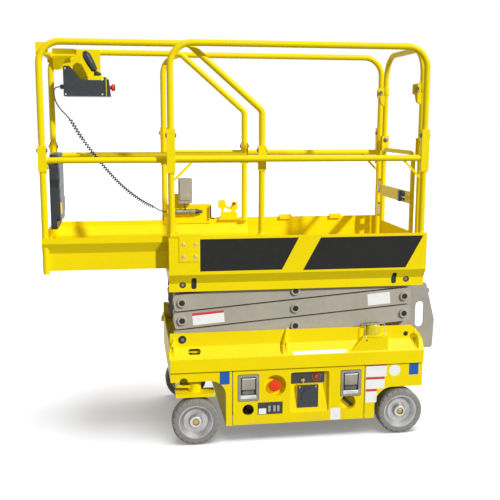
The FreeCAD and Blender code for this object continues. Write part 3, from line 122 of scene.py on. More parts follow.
class Finish:
    """A procedural material, named for the piece's real finish, or a world's nodes."""

    def __init__(self, name, world=None):
        self.owner = world or bpy.data.materials.new(name)
        self.owner.use_nodes = True
        self.tree = self.owner.node_tree
        self.tree.nodes.clear()
        self.output = self.tree.nodes.new("ShaderNodeOutputWorld" if world else "ShaderNodeOutputMaterial")

    def add(self, kind, sockets=None, out=0, **settings):
        """Adds a shader node: its settings first, then its sockets' values and links."""
        node = self.tree.nodes.new("ShaderNode" + kind)
        for key, value in settings.items():
            setattr(node, key, value)
        for key, value in (sockets or {}).items():
            if isinstance(value, Value):
                self.tree.links.new(value.socket, node.inputs[key])
            else:
                node.inputs[key].default_value = value
        return Value(self, node.outputs[out])

    def place(self):
        """Position on the piece, in metres."""
        return self.add("TexCoord", out="Object")

    def noise(self, scale, detail=3.0, roughness=0.55, where=None):
        """Soft random value about 0.5, with this many waves in a metre."""
        return self.add("TexNoise", {
            "Vector": where or self.place(), "Scale": scale, "Detail": detail, "Roughness": roughness})

    def grain(self, stretch, scale):
        """Noise drawn out along an axis, as brushing or drawing marks are."""
        drawn = self.add("Mapping", {"Vector": self.place(), "Scale": stretch})
        return self.noise(scale, 4.0, 0.6, drawn)

    def step(self, value, low, high):
        """0 below low, 1 above high, smooth between."""
        return self.add("MapRange", {"Value": value, "From Min": low, "From Max": high},
                        interpolation_type="SMOOTHSTEP")

    def height(self):
        """Height above the floor, in metres, for a piece that lies in the row frame."""
        return self.add("SeparateXYZ", {0: self.place()}, out="Z")

    def blend(self, factor, first, second):
        """Colour between two colours, each a socket or three display values out of 255."""
        first, second = [colour if isinstance(colour, Value) else linear(colour) for colour in (first, second)]
        return self.add("Mix", {0: factor, 6: first, 7: second}, out=2, data_type="RGBA")

    def bump(self, value, depth, strength=1.0):
        """Normal of a surface whose height is the value times a depth in metres."""
        return self.add("Bump", {"Height": value, "Distance": depth, "Strength": strength})

    def end(self, shader):
        """Ends the finish in a shader."""
        self.tree.links.new(shader.socket, self.output.inputs["Surface"])
        return self.owner

    def surface(self, **sockets):
        """Ends the finish in one surface. Underscores in a socket's name stand for spaces."""
        named = {key.replace("_", " "): value for key, value in sockets.items()}
        return self.end(self.add("BsdfPrincipled", named))


def linear(colour):
    """Linear colour from three display values out of 255."""
    levels = [level / 255 for level in colour]
    return (*[level / 12.92 if level <= 0.04045 else ((level + 0.055) / 1.055) ** 2.4 for level in levels], 1.0)


def paint(name, colour, worn, dust, roughness):
    """Sprayed or powder-coated steel: orange peel, faint mottling, scuffs and floor dust low down."""
    finish = Finish(name)
    cloud = finish.noise(3.1, 4.0)
    fine = finish.noise(46.0, 3.0)
    tone = finish.blend(finish.step(cloud * 0.7 + fine * 0.3, 0.35, 0.65), colour, worn)
    scuff = finish.step(finish.grain((1.0, 1.0, 7.0), 21.0) * 0.6 + finish.noise(160.0) * 0.4, 0.63, 0.74)
    low = 1 - finish.step(finish.height(), 0.02, 0.34)
    film = (finish.step(finish.noise(9.0, 5.0), 0.38, 0.72) * low * 0.28 + scuff * 0.1).at_most(1.0)
    shade = finish.blend(film, tone, dust)
    peel = finish.noise(420.0, 2.0)
    return finish.surface(
        Base_Color=shade, Roughness=roughness + scuff * 0.2 + film * 0.25 + fine * 0.05, Coat_Weight=0.03,
        Coat_Roughness=0.2, Specular_IOR_Level=0.15, Normal=finish.bump(peel, 0.00012, 0.5))


def moulded(name, colour, lifted, roughness, texture=900.0, depth=0.0001, coat=0.0, shine=0.5):
    """Moulded plastic, film or rubber with a fine grain and pale rub marks."""
    finish = Finish(name)
    grain = finish.noise(texture, 2.0, 0.7)
    rub = finish.step(finish.noise(33.0, 5.0), 0.52, 0.76)
    tone = finish.blend(rub * 0.6, colour, lifted)
    return finish.surface(
        Base_Color=tone, Roughness=roughness + rub * 0.12 - grain * 0.06,
        Coat_Weight=coat, Specular_IOR_Level=shine, Normal=finish.bump(grain, depth, 0.6))


def bare_metal(name, colour, dull, roughness, stretch=(1.0, 1.0, 12.0), scale=60.0, metallic=1.0):
    """Plated, brushed or rolled metal with drawn-out grain and dull patches."""
    finish = Finish(name)
    marks = finish.grain(stretch, scale)
    patch = finish.step(finish.noise(14.0, 4.0), 0.42, 0.68)
    tone = finish.blend(patch * 0.7 + marks * 0.2, colour, dull)
    return finish.surface(
        Base_Color=tone, Metallic=metallic, Roughness=roughness + patch * 0.14 + marks * 0.1,
        Normal=finish.bump(marks, 0.00006, 0.5))


YELLOW = paint("yellow_coat", (255, 231, 2), (252, 225, 2), (196, 178, 84), 0.42)
ARM_GREY = paint("arm_coat", (186, 179, 165), (176, 169, 154), (130, 124, 112), 0.42)
DARK_PAINT = paint("dark_coat", (52, 52, 52), (40, 40, 41), (110, 106, 96), 0.46)
LADDER_GREY = paint("ladder_coat", (176, 171, 161), (166, 161, 151), (126, 120, 110), 0.44)
WHITE_FILM = moulded("white_film", (250, 250, 248), (226, 226, 224), 0.3, 500.0, 0.00002, 0.3)
BLUE_FILM = moulded("blue_film", (20, 94, 178), (34, 108, 190), 0.3, 500.0, 0.00002, 0.0, 0.3)
RED_FILM = moulded("red_film", (206, 30, 44), (214, 48, 60), 0.3, 500.0, 0.00002, 0.3)
DARK_FILM = moulded("dark_film", (36, 36, 34), (44, 44, 42), 0.4, 500.0, 0.00002, 0.0, 0.15)
BRASS = bare_metal("passivated_nut", (196, 174, 116), (150, 128, 78), 0.3, (1.0, 1.0, 1.0), 90.0)
BLACK_PLASTIC = moulded("black_plastic", (38, 44, 49), (62, 69, 75), 0.42)
GREY_PLASTIC = moulded("grey_plastic", (168, 163, 156), (188, 184, 178), 0.4)
DULL_RED = moulded("dull_red", (150, 62, 44), (176, 92, 70), 0.4)
RED_PLASTIC = moulded("red_plastic", (238, 62, 24), (242, 86, 48), 0.34, coat=0.05, shine=0.25)
CORD_RUBBER = moulded("cord_jacket", (34, 34, 36), (58, 58, 60), 0.5, 1400.0, 0.00004)
TYRE_RUBBER = moulded("tyre_rubber", (140, 137, 131), (166, 162, 154), 0.78, 260.0, 0.0004)
RIM_SILVER = bare_metal("rim_metal", (184, 184, 186), (150, 149, 146), 0.3, (1.0, 6.0, 1.0), 30.0, 0.8)
LATCH_STEEL = bare_metal("latch_steel", (206, 207, 205), (168, 168, 166), 0.26)
LATCH_GREY = bare_metal("latch_frame", (156, 152, 140), (132, 128, 116), 0.34, metallic=0.5)
DARK_STEEL = bare_metal("dark_steel", (118, 116, 112), (86, 84, 80), 0.36)
ZINC = bare_metal("zinc_plate", (188, 188, 184), (150, 150, 146), 0.3, (1.0, 1.0, 1.0), 90.0)
CHROME = bare_metal("chrome_rod", (226, 227, 228), (206, 207, 208), 0.08, (1.0, 9.0, 9.0), 50.0)
LENS = moulded("beacon_lens", (226, 206, 18), (236, 218, 40), 0.25, 300.0, 0.00003, 0.1, 0.3)
BATTERY_BLACK = moulded("battery_case", (40, 40, 42), (60, 60, 62), 0.55)

# what these two tables don't name is painted yellow
NODE_FINISH = {
    "front_axle": DARK_STEEL, "rear_axle": DARK_STEEL, "battery_pack": BATTERY_BLACK,
    "entry_ladder": LADDER_GREY, "beacon": LENS, "door_latches_near": LATCH_STEEL,
    "door_latches_far": LATCH_STEEL, "stop_button": RED_PLASTIC, "release_lever": DARK_PAINT,
    "battery_meter": BLACK_PLASTIC, "tie_rod": ZINC, "lift_barrel": DARK_PAINT, "lift_rod": CHROME,
    "control_box": BLACK_PLASTIC, "document_box": BLACK_PLASTIC, "outlet_box": GREY_PLASTIC,
    "control_cord": CORD_RUBBER,
}
FAMILY_FINISH = {"tyre": TYRE_RUBBER, "rim": RIM_SILVER, "scissor": ARM_GREY}
for name, node in NODES.items():
    node.data.materials.clear()
    node.data.materials.append(FAMILY_FINISH.get(name.split("_")[0]) or NODE_FINISH.get(name, YELLOW))


# ---- mesh helpers
FACINGS = {
    "Z": Matrix.Identity(4),
    "Y": Matrix.Rotation(-math.pi / 2, 4, "X"), "-Y": Matrix.Rotation(math.pi / 2, 4, "X"),
    "X": Matrix.Rotation(math.pi / 2, 4, "Y"), "-X": Matrix.Rotation(-math.pi / 2, 4, "Y"),
}


def facing(axis, place, way=1):
    """Frame whose own z runs along an axis, or against it when the way is -1."""
    return Matrix.Translation(place) @ FACINGS[axis if way > 0 else "-" + axis]


def outward(side, x, y, z):
    """Frame on one side of the lift that faces away from its middle."""
    return facing("Y", (x, side * y, z), side)


def nearward(x, y, z):
    """Frame that faces the near side, behind the middle of the wheelbase by x."""
    return facing("Y", (along(x), y, z), -1)


def wall(side, out=0.0):
    """Frame this far out on one side: its x and y are the row frame's X and Z, and its z runs outwards."""
    return Matrix(((1, 0, 0, 0), (0, 0, side, side * out), (0, 1, 0, 0), (0, 0, 0, 1)))


def across(x, way=1):
    """Frame at an X: its z runs along X, its x along Y, both against them when the way is -1, and its y up."""
    return Matrix(((0, 0, way, x), (way, 0, 0, 0), (0, 1, 0, 0), (0, 0, 0, 1)))


def turns(count):
    """Cosine and sine of evenly spaced angles, once round."""
    angles = [2 * math.pi * step / count for step in range(count)]
    return [(math.cos(angle), math.sin(angle)) for angle in angles]


def skin(shape, rings, closed_round=True, caps=True):
    """Faces between rings of points, one after another."""
    made = [[shape.verts.new(point) for point in ring] for ring in rings]
    for lower, upper in zip(made, made[1:]):
        count = len(lower)
        for index in range(count if closed_round else count - 1):
            after = (index + 1) % count
            shape.faces.new((lower[index], lower[after], upper[after], upper[index]))
    if caps:
        shape.faces.new(made[0][::-1])
        shape.faces.new(made[-1])


def prism(shape, outline, low, high, frame=FACINGS["Z"], edge=0.0):
    """Outline drawn out along its frame's z, with a chamfer at its high end."""
    middle_x = sum(x for x, y in outline) / len(outline)
    middle_y = sum(y for x, y in outline) / len(outline)
    levels = [(low, 1.0), (high, 1.0)]
    if edge:
        reach = max(max(abs(x - middle_x), abs(y - middle_y)) for x, y in outline)
        levels = [(low, 1.0), (high - edge, 1.0), (high, 1.0 - edge / reach)]
    skin(shape, [[frame @ Vector((middle_x + (x - middle_x) * share, middle_y + (y - middle_y) * share, level))
                  for x, y in outline] for level, share in levels])


def band(shape, outer, inner, low, high, frame):
    """Closed frame between two outlines with as many points."""
    rings = [[frame @ Vector((x, y, level)) for x, y in outline]
             for outline, level in ((outer, low), (outer, high), (inner, high), (inner, low), (outer, low))]
    skin(shape, rings, caps=False)


def rounded(x0, x1, y0, y1, radius, steps=5):
    """Outline of a rectangle with rounded corners."""
    points = []
    for x, y, start in ((x1, y1, 0), (x0, y1, 1), (x0, y0, 2), (x1, y0, 3)):
        middle_x = x - radius if x == x1 else x + radius
        middle_y = y - radius if y == y1 else y + radius
        for step in range(steps + 1):
            angle = (start + step / steps) * math.pi / 2
            points.append((middle_x + radius * math.cos(angle), middle_y + radius * math.sin(angle)))
    return points


def plate(shape, spread, radius, inside, outside, side=-1, edge=0.0, steps=5):
    """Upright rounded plate between two distances out, spread over two X behind the wheelbase's middle and two Z."""
    x0, x1, z0, z1 = spread
    prism(shape, rounded(along(x0), along(x1), z0, z1, radius, steps), inside, outside, wall(side), edge)


def lathed(shape, profile, frame, count=28, caps=True):
    """Profile of radius and height turned about its frame's z."""
    skin(shape, [[frame @ Vector((radius * cosine, radius * sine, height)) for cosine, sine in turns(count)]
                 for radius, height in profile], caps=caps)


def hex_head(shape, frame, wide, height, washer=True):
    """Hexagon head, this wide across its flats, on its washer."""
    if washer:
        lathed(shape, [(wide * 0.72, 0), (wide * 0.72, height * 0.2), (wide * 0.68, height * 0.28)], frame, 24)
    corner = wide / math.sqrt(3)
    lathed(shape, [(corner, height * 0.2), (corner, height * 0.86), (corner * 0.84, height)], frame, 6)


def swept(shape, points, radius, count=8):
    """Round wire along points."""
    rings = []
    side = Vector((0.37, 0.61, 0.7))
    points = [Vector(point) for point in points]
    for before, here, after in zip(points[:1] + points, points, points[1:] + points[-1:]):
        ahead = (after - before).normalized()
        side = (side - ahead * side.dot(ahead)).normalized()
        up = ahead.cross(side)
        rings.append([here + (side * cosine + up * sine) * radius for cosine, sine in turns(count)])
    skin(shape, rings)


def arc_points(places, radius, steps=6):
    """Line through places with its corners rounded."""
    places = [Vector(place) for place in places]
    line = [places[0]]
    for before, here, after in zip(places, places[1:], places[2:]):
        start = here + (before - here).normalized() * radius
        end = here + (after - here).normalized() * radius
        for step in range(steps + 1):
            share = step / steps
            line.append(start * (1 - share) ** 2 + here * 2 * share * (1 - share) + end * share ** 2)
    return line + [places[-1]]


def placed(name, data):
    """Object of this data, in the scene."""
    made = bpy.data.objects.new(name, data)
    bpy.context.scene.collection.objects.link(made)
    return made


def piece(name, body, finish, shape, bevel=0.0, replaces=None):
    """Turns a drawn shape into a piece that rides on a body."""
    bmesh.ops.recalc_face_normals(shape, faces=shape.faces)
    mesh = bpy.data.meshes.new(name)
    shape.to_mesh(mesh)
    shape.free()
    mesh.materials.append(finish)
    for face in mesh.polygons:
        face.use_smooth = True
    mesh.set_sharp_from_angle(angle=math.radians(32))
    made = placed(name, mesh)
    if bevel:
        rounding = made.modifiers.new("rounding", "BEVEL")
        rounding.width = bevel
        rounding.segments = 2
        rounding.limit_method = "ANGLE"
    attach(made, body)
    if replaces:
        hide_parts(replaces)


def single(name, body, finish, helper, *measures, bevel=0.0, replaces=None, **options):
    """Piece that one helper draws."""
    shape = bmesh.new()
    helper(shape, *measures, **options)
    piece(name, body, finish, shape, bevel, replaces)


# ---- wheels
TYRE_SHOULDER = [(0.04, 0.0875), (0.04, 0.098), (0.04, 0.0995), (0.04, 0.101), (0.04, 0.106),
                 (0.0386, 0.1125), (0.034, 0.1165), (0.028, 0.118)]
NOTCHES, NOTCH_STEPS, NOTCH_DEPTH = 22, 9, 0.0055


def tyre_piece(corner):
    """Solid non-marking tyre: crowned tread and short notches round both shoulders."""
    centre = middle("tyre_" + corner)
    rings = []
    for axle, radius in [(-axle, radius) for axle, radius in TYRE_SHOULDER] + TYRE_SHOULDER[::-1]:
        ring = []
        for step, (cosine, sine) in enumerate(turns(NOTCHES * NOTCH_STEPS)):
            notched = 0.105 < radius < 0.117 and step % NOTCH_STEPS < 2
            away = radius - (NOTCH_DEPTH if notched else 0.0)
            ring.append(centre + Vector((away * cosine, axle, away * sine)))
        rings.append(ring)
    shape = bmesh.new()
    skin(shape, rings + rings[:1], caps=False)
    bmesh.ops.remove_doubles(shape, verts=shape.verts, dist=0.00001)
    piece("solid_tyre_" + corner, "wheel_" + corner, TYRE_RUBBER, shape, replaces="tyre_" + corner)


def hub_pieces(corner, way, carrier):
    """Machined hub ring on the wheel and the nut on its axle, which the carrier holds."""
    wheel = middle("tyre_" + corner)

    def at(out, x=0.0, z=0.0):
        """Frame this far outside the wheel's middle."""
        return facing("Y", (wheel.x + x, wheel.y + way * out, wheel.z + z), way)

    shape = bmesh.new()
    lathed(shape, [(0.0185, -0.002), (0.0185, 0.0035), (0.0215, 0.0045), (0.0262, 0.0045), (0.0285, 0.0025),
                   (0.0285, -0.002), (0.0185, -0.002)], at(0.032), 40, caps=False)
    bolt = 0.068 * math.sqrt(0.5)
    for x, z in ((bolt, bolt), (-bolt, bolt), (-bolt, -bolt), (bolt, -bolt)):
        lathed(shape, [(0.0038, -0.004), (0.0038, 0.001), (0.003, 0.0016)], at(0.017, x, z), 14)
    piece("hub_ring_" + corner, "wheel_" + corner, LATCH_STEEL, shape)
    shape = bmesh.new()
    lathed(shape, [(0.0168, 0), (0.0168, 0.002), (0.016, 0.0025)], at(0.0262), 30)
    lathed(shape, [(0.0145, 0.0022), (0.0145, 0.008), (0.0122, 0.0098)], at(0.0262), 6)
    lathed(shape, [(0.0075, 0.009), (0.0075, 0.0114), (0.006, 0.012)], at(0.0262), 20)
    piece("axle_nut_" + corner, carrier, BRASS, shape)


for end in ("front", "rear"):
    for way, side in SIDES:
        tyre_piece(end + "_" + side)
        hub_pieces(end + "_" + side, way, "knuckle_" + side if end == "front" else "chassis")


# ---- scissor
PIVOT_X = along(-0.593)
PIVOT_Z = 0.54
ARM_REACH = 1.14103
STAGE = 0.0903
OUTER_ARM_FACE = 0.325


def scissor_pins():
    """Collars and dark screws on the outer ends of each stage's pins."""
    for stage in (1, 2, 3):
        shape, screws = bmesh.new(), bmesh.new()
        low = PIVOT_Z + STAGE * (stage - 1)
        places = [(PIVOT_X + ARM_REACH / 2, low + STAGE / 2), (PIVOT_X + ARM_REACH, low + STAGE)]
        if stage > 1:
            places.append((PIVOT_X, low))
        for x, z in places:
            for side in (-1, 1):
                lathed(shape, [(0.0235, -0.002), (0.0235, 0.008), (0.0215, 0.0105), (0.0148, 0.0105),
                               (0.0142, 0.006), (0.014, 0.006)], outward(side, x, OUTER_ARM_FACE, z), 32)
                hex_head(screws, outward(side, x, OUTER_ARM_FACE + 0.0058, z), 0.0225, 0.0044)
        piece("pin_collars_%d" % stage, "scissor_outer_%d" % stage, ARM_GREY, shape)
        piece("pin_screws_%d" % stage, "scissor_outer_%d" % stage, DARK_PAINT, screws)


def arm_seams():
    """Weld beads where the cross tubes meet the inner arms."""
    for stage in (1, 2, 3):
        shape = bmesh.new()
        x, z = PIVOT_X + ARM_REACH * 0.1, PIVOT_Z + STAGE * (stage - 0.1)
        for side in (-1, 1):
            lathed(shape, [(0.0215, -0.001), (0.0265, -0.0005), (0.0255, 0.0025), (0.0235, 0.0045),
                           (0.0215, 0.005)], facing("Y", (x, side * 0.24, z), -side), 36, caps=False)
        piece("tube_welds_%d" % stage, "scissor_inner_%d" % stage, ARM_GREY, shape)


scissor_pins()
arm_seams()


# ---- plates and labels
DOOR_FACE = 0.368
FILM = 0.0004
DARK_FIELDS = (
    ((-0.505, 0.885), (-0.102, 0.885), (-0.019, 1.043), (-0.505, 1.043)),
    ((0.004, 0.88), (0.532, 0.88), (0.62, 1.041), (0.092, 1.041)),
)


def films(name, body, finish, spreads, out=DOOR_FACE, radius=0.003, disc=None):
    """Thin blank films on an upright near face, with a round one of this middle and radius."""
    shape = bmesh.new()
    for spread in spreads:
        plate(shape, spread, radius, out - FILM, out + FILM, steps=3)
    if disc:
        x, z, wide = disc
        lathed(shape, [(wide, -FILM), (wide, FILM)], nearward(x, -out, z), 48)
    piece(name, body, finish, shape)


def labels():
    """Blank plates and films, one piece for each colour and carrier."""
    films("blue_plates", "chassis", BLUE_FILM, ((-0.411, -0.361, 0.306, 0.374), (0.574, 0.625, 0.312, 0.374)))
    films("white_plates", "chassis", WHITE_FILM,
          ((0.345, 0.453, 0.309, 0.366), (0.345, 0.444, 0.245, 0.295), (0.345, 0.404, 0.172, 0.231)),
          disc=(0.497, 0.339, 0.0305))
    films("red_headers", "chassis", RED_FILM,
          ((0.345, 0.453, 0.3665, 0.377), (0.345, 0.444, 0.2955, 0.3085), (0.345, 0.404, 0.2315, 0.244)),
          radius=0.001)
    films("door_plate", "near_door", WHITE_FILM, ((0.16, 0.212, 0.09, 0.152),))
    # dark fields on the platform's sides
    for side, word in SIDES:
        shape = bmesh.new()
        for corners in DARK_FIELDS:
            prism(shape, [(along(x), z) for x, z in corners], -FILM, FILM, wall(side, 0.375))
        piece("dark_fields_" + word, "platform", DARK_FILM, shape)
    # small films on the second stage's near outer arm
    tilt = Matrix.Rotation(-math.atan2(STAGE, ARM_REACH), 4, "Y")
    arm = facing("Z", (PIVOT_X, -OUTER_ARM_FACE, PIVOT_Z + STAGE)) @ tilt @ FACINGS["-Y"]
    for name, finish, spread, radius in (
            ("arm_label_1", WHITE_FILM, (0.053, 0.211, -0.03, 0.018), 0.003),
            ("arm_label_header", RED_FILM, (0.053, 0.211, 0.019, 0.031), 0.002),
            ("arm_label_2", WHITE_FILM, (0.951, 1.07, -0.03, 0.03), 0.003)):
        single(name, "scissor_outer_2", finish, prism, rounded(*spread, radius), -FILM, FILM, arm)


labels()


# ---- latches and base controls
LATCH_WIDTH, LATCH_LOW, LATCH_HIGH = 0.104, 0.214, 0.351


def door_latch(x0, side):
    """Flush paddle latch: rolled frame, bright lower lip, pull wire, sprung paddle, and painted shade in its cup,
    its recess and round its rim.
    """
    x1, z0, z1 = x0 + LATCH_WIDTH, LATCH_LOW, LATCH_HIGH
    frame = wall(side, DOOR_FACE)
    inside = DOOR_FACE - 0.0005

    def spot(x, z, out):
        return frame @ Vector((along(x), z, out))

    def outline(inset, radius):
        return rounded(along(x0 + inset), along(x1 - inset), z0 + inset, z1 - inset, radius, 4)

    def ridge(inset, section):
        """Bar across the latch with a section of height and depth."""
        skin(shape, [[spot(x, z, out) for z, out in section] for x in (x0 + inset, x1 - inset)])

    shape = bmesh.new()
    band(shape, outline(0.0, 0.008), outline(0.009, 0.006), -0.001, 0.0022, frame)
    band(shape, outline(0.009, 0.006), outline(0.0125, 0.004), -0.001, 0.0042, frame)
    yield shape, LATCH_GREY, "latch_frame"
    shape = bmesh.new()
    ridge(0.0125, [(z0 + 0.0125, 0.0), (z0 + 0.0125, 0.004), (z0 + 0.027, 0.0036), (z0 + 0.031, 0.0),
                   (z0 + 0.03, 0.0)])
    swept(shape, [spot(x, z1 - 0.02, 0.0044) for x in (x0 + 0.018, x1 - 0.018)], 0.0036, 10)
    yield shape, LATCH_STEEL, "latch_lip"
    shape = bmesh.new()
    wire = [spot(x, z0 + rise, 0.0009) for x, rise in (
        (x0 + 0.026, 0.05), (x0 + 0.036, 0.057), (x1 - 0.036, 0.057), (x1 - 0.026, 0.05))]
    swept(shape, arc_points(wire, 0.006), 0.0016)
    # painted shade: a dark plate fills the cup's opening below the paddle
    plate(shape, (x0 + 0.022, x1 - 0.022, z0 + 0.034, z0 + 0.0515), 0.006, inside, DOOR_FACE + 0.001, side, steps=3)
    yield shape, DARK_STEEL, "latch_cup"
    shape = bmesh.new()
    ridge(0.0185, [(z0 + 0.06, 0.0), (z0 + 0.06, 0.0046), (z0 + 0.063, 0.005), (z1 - 0.027, 0.0042),
                   (z1 - 0.024, 0.0034), (z1 - 0.024, 0.0)])
    yield shape, LATCH_GREY, "latch_paddle"
    shape = bmesh.new()
    # painted shade: a dark rim round the latch and a dark plate in the recess behind the paddle
    band(shape, outline(-0.0022, 0.009), outline(0.0004, 0.008), -0.001, 0.001, frame)
    plate(shape, (x0 + 0.0125, x1 - 0.0125, z0 + 0.026, z1 - 0.0125), 0.002, inside, DOOR_FACE + 0.0008, side,
          steps=3)
    yield shape, DARK_PAINT, "latch_seal"


for side, word in SIDES:
    for number, start in enumerate((-0.318, 0.213)):
        for shape, finish, name in door_latch(start, side):
            hidden = "door_latches_" + word if number == 0 and name == "latch_frame" else None
            piece("%s_%s_%d" % (name, word, number + 1), word + "_door", finish, shape, 0.0003, hidden)


def base_controls():
    """Mushroom stop, charging inlet, key switch and meter face at the control side."""
    floor = nearward(-0.128, -0.331, 0.281)
    single("stop_mushroom", "near_door", RED_PLASTIC, lathed,
           [(0.012, -0.002), (0.012, 0.012), (0.026, 0.0135), (0.03, 0.0165), (0.03, 0.023), (0.027, 0.0265),
            (0.015, 0.029), (0.0004, 0.0296)], floor, 40, replaces="stop_button")
    shape = bmesh.new()
    lathed(shape, [(0.019, -0.001), (0.019, 0.004), (0.0165, 0.0065), (0.0125, 0.0065)], floor, 32, caps=False)
    # switch panel, inlet cover with its lid and catch, and meter face
    plate(shape, (-0.048, 0.134, 0.286, 0.35), 0.003, 0.3435, 0.3452)
    plate(shape, (-0.014, 0.097, 0.161, 0.281), 0.003, 0.3585, 0.3605)
    lathed(shape, [(0.033, 0), (0.033, 0.003), (0.03, 0.0045), (0.0265, 0.0045), (0.0255, 0.003),
                   (0.0004, 0.003)], nearward(0.04, -0.3605, 0.221), 44)
    plate(shape, (0.022, 0.058, 0.252, 0.262), 0.004, 0.3605, 0.3655)
    plate(shape, (-0.217, -0.092, 0.138, 0.2), 0.002, 0.3615, 0.363)
    piece("switch_panels", "near_door", BLACK_PLASTIC, shape, 0.0003)
    shape = bmesh.new()
    ring = nearward(0.088, -0.3452, 0.32)
    lathed(shape, [(0.0185, 0), (0.0185, 0.003), (0.0245, 0.003), (0.0245, 0)], ring, 36, caps=False)
    lathed(shape, [(0.014, 0), (0.014, 0.006), (0.0125, 0.008), (0.0004, 0.0085)], ring, 30)
    piece("stop_ring", "near_door", DULL_RED, shape)
    shape = bmesh.new()
    for x in (-0.16456, -0.1388, -0.11856):
        plate(shape, (x, x + 0.013, 0.15, 0.182), 0.002, 0.3632, 0.3674, edge=0.001)
    piece("meter_keys", "near_door", GREY_PLASTIC, shape)
    shape = bmesh.new()
    lock = nearward(0.018, -0.3452, 0.303)
    lathed(shape, [(0.0105, 0), (0.0105, 0.003), (0.0085, 0.0055), (0.0035, 0.0055), (0.0032, 0.0045)],
           lock, 26)
    prism(shape, rounded(-0.002, 0.002, -0.012, 0.012, 0.0015), 0.003, 0.014, lock)
    for x in (-0.001, 0.083):
        lathed(shape, [(0.0045, 0), (0.0045, 0.001), (0.003, 0.0018)], nearward(x, -0.3605, 0.27), 16)
    piece("key_switch", "near_door", BRASS, shape)
    films("meter_tag", "near_door", WHITE_FILM, ((-0.212, -0.174, 0.139, 0.168),), 0.3632, 0.001)


base_controls()


# ---- side fittings
LIP_HOLES = ((-0.589, 0.814), (0.548, 0.814))
LIP_SLOTS = (-0.534, 0.482)
DIAGONAL = 0.707
# where each lashing plate stands, the way it leans out, and its top and outer edge
LASHING_PLATES = (
    (-0.632, -1, [(-0.001, 0.549), (0.006, 0.55), (0.017, 0.529), (0.047, 0.476)]),
    (-0.0635, -1, [(-0.001, 0.588), (0.006, 0.589), (0.017, 0.568), (0.047, 0.476)]),
    (0.585, 1, [(-0.001, 0.518), (0.008, 0.531), (0.021, 0.533), (0.034, 0.53), (0.044, 0.516),
                (0.0478, 0.49)]),
)


def holed_plate(shape, outline, hole, radius, low, high, frame, count=48):
    """Plate with a convex outline and a round hole, drawn out along its frame's z."""
    outer, inner = [], []
    for ahead in turns(count):
        ahead = Vector(ahead)
        reach = 1.0
        for start, end in zip(outline, outline[1:] + outline[:1]):
            start, end = Vector(start) - Vector(hole), Vector(end) - Vector(hole)
            side = end - start
            slope = ahead.x * side.y - ahead.y * side.x
            if abs(slope) > 1e-9:
                distance = (start.x * side.y - start.y * side.x) / slope
                share = (start.x * ahead.y - start.y * ahead.x) / slope
                if distance > 0 and -1e-6 <= share <= 1 + 1e-6:
                    reach = min(reach, distance)
        outer.append((hole[0] + ahead.x * reach, hole[1] + ahead.y * reach))
        inner.append((hole[0] + ahead.x * radius, hole[1] + ahead.y * radius))
    band(shape, outer, inner, low, high, frame)


def hole_shade_disc(shape, frame, radius, count):
    """Shallow dark disc, painted shade that stands for a small hole."""
    lathed(shape, [(radius, -0.001), (radius, 0.0006), (0.0004, 0.0006)], frame, count)


def side_fittings():
    """Lashing plates, pivot nuts, seals and pale strip on the base's sides, dark discs painted as the shade of small
    holes, and dark plates painted as the shade behind the platform's lip openings.
    """
    plates, nuts, hole_shade = bmesh.new(), bmesh.new(), bmesh.new()
    for side in (-1, 1):
        for x, lean, edge in LASHING_PLATES:
            frame = Matrix(((lean * DIAGONAL, 0, side * DIAGONAL, along(x)),
                            (side * DIAGONAL, 0, -lean * DIAGONAL, side * 0.3432), (0, 1, 0, 0), (0, 0, 0, 1)))
            outline = [(-0.001, 0.5)] + edge + [(0.0478, 0.449), (0.04, 0.448)]
            holed_plate(plates, outline[::-1], (0.0225 + 0.002 * lean, 0.499), 0.0115, -0.004, 0.004, frame)
        # painted shade: these dark discs, one round each pivot nut, stand for the shade in holes
        lathed(hole_shade, [(0.0195, -0.001), (0.0195, 0.0035), (0.018, 0.0048), (0.0004, 0.0048)],
               outward(side, PIVOT_X, 0.345, PIVOT_Z), 32)
        hex_head(nuts, outward(side, PIVOT_X, 0.3496, PIVOT_Z), 0.017, 0.0075, washer=False)
        hole_shade_disc(hole_shade, outward(side, along(0.557), 0.345, 0.5265), 0.0125, 28)
    hole_shade_disc(hole_shade, nearward(0.3413, -0.376, 0.506), 0.0042, 16)
    piece("lashing_plates", "chassis", YELLOW, plates, 0.0005)
    piece("pivot_nuts", "chassis", DARK_STEEL, nuts)
    piece("side_hole_shade", "chassis", DARK_PAINT, hole_shade)
    door_low, door_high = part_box("side_door_near")
    seals, hole_shade_plates, heads = bmesh.new(), bmesh.new(), bmesh.new()
    for side in (-1, 1):
        for x in (door_low.x - 0.0015, door_high.x + 0.0015):
            prism(seals, rounded(x - 0.008, x + 0.008, 0.165, 0.366, 0.002), 0.3592, 0.3618, wall(side))
        # painted shade: dark plates behind the lip's round holes and long slots stand for the shade seen through
        # them
        for x, z in LIP_HOLES:
            plate(hole_shade_plates, (x - 0.021, x + 0.021, z - 0.021, z + 0.021), 0.006, 0.339, 0.3418, side)
            hex_head(heads, outward(side, along(x), 0.3412, z), 0.013, 0.0026)
        for x in LIP_SLOTS:
            plate(hole_shade_plates, (x - 0.018, x + 0.018, 0.782, 0.862), 0.006, 0.338, 0.3418, side)
    piece("door_seals", "chassis", DARK_STEEL, seals)
    piece("lip_hole_shade_plates", "platform", DARK_PAINT, hole_shade_plates)
    piece("lip_screws", "platform", DARK_STEEL, heads)
    slope = Matrix(((1, 0, 0, 0), (0, 0.523, -0.852, -0.38), (0, 0.852, 0.523, 0.445), (0, 0, 0, 1)))
    single("slope_strip", "chassis", WHITE_FILM, prism,
           rounded(along(-0.04), along(0.236), 0.003, 0.021, 0.002), -FILM, FILM, slope)


side_fittings()


# ---- floor plates
LOZENGE = [(-0.012, 0), (-0.004, -0.0032), (0.004, -0.0032), (0.012, 0), (0.004, 0.0032), (-0.004, 0.0032)]
LOZENGE_PITCH = 0.044


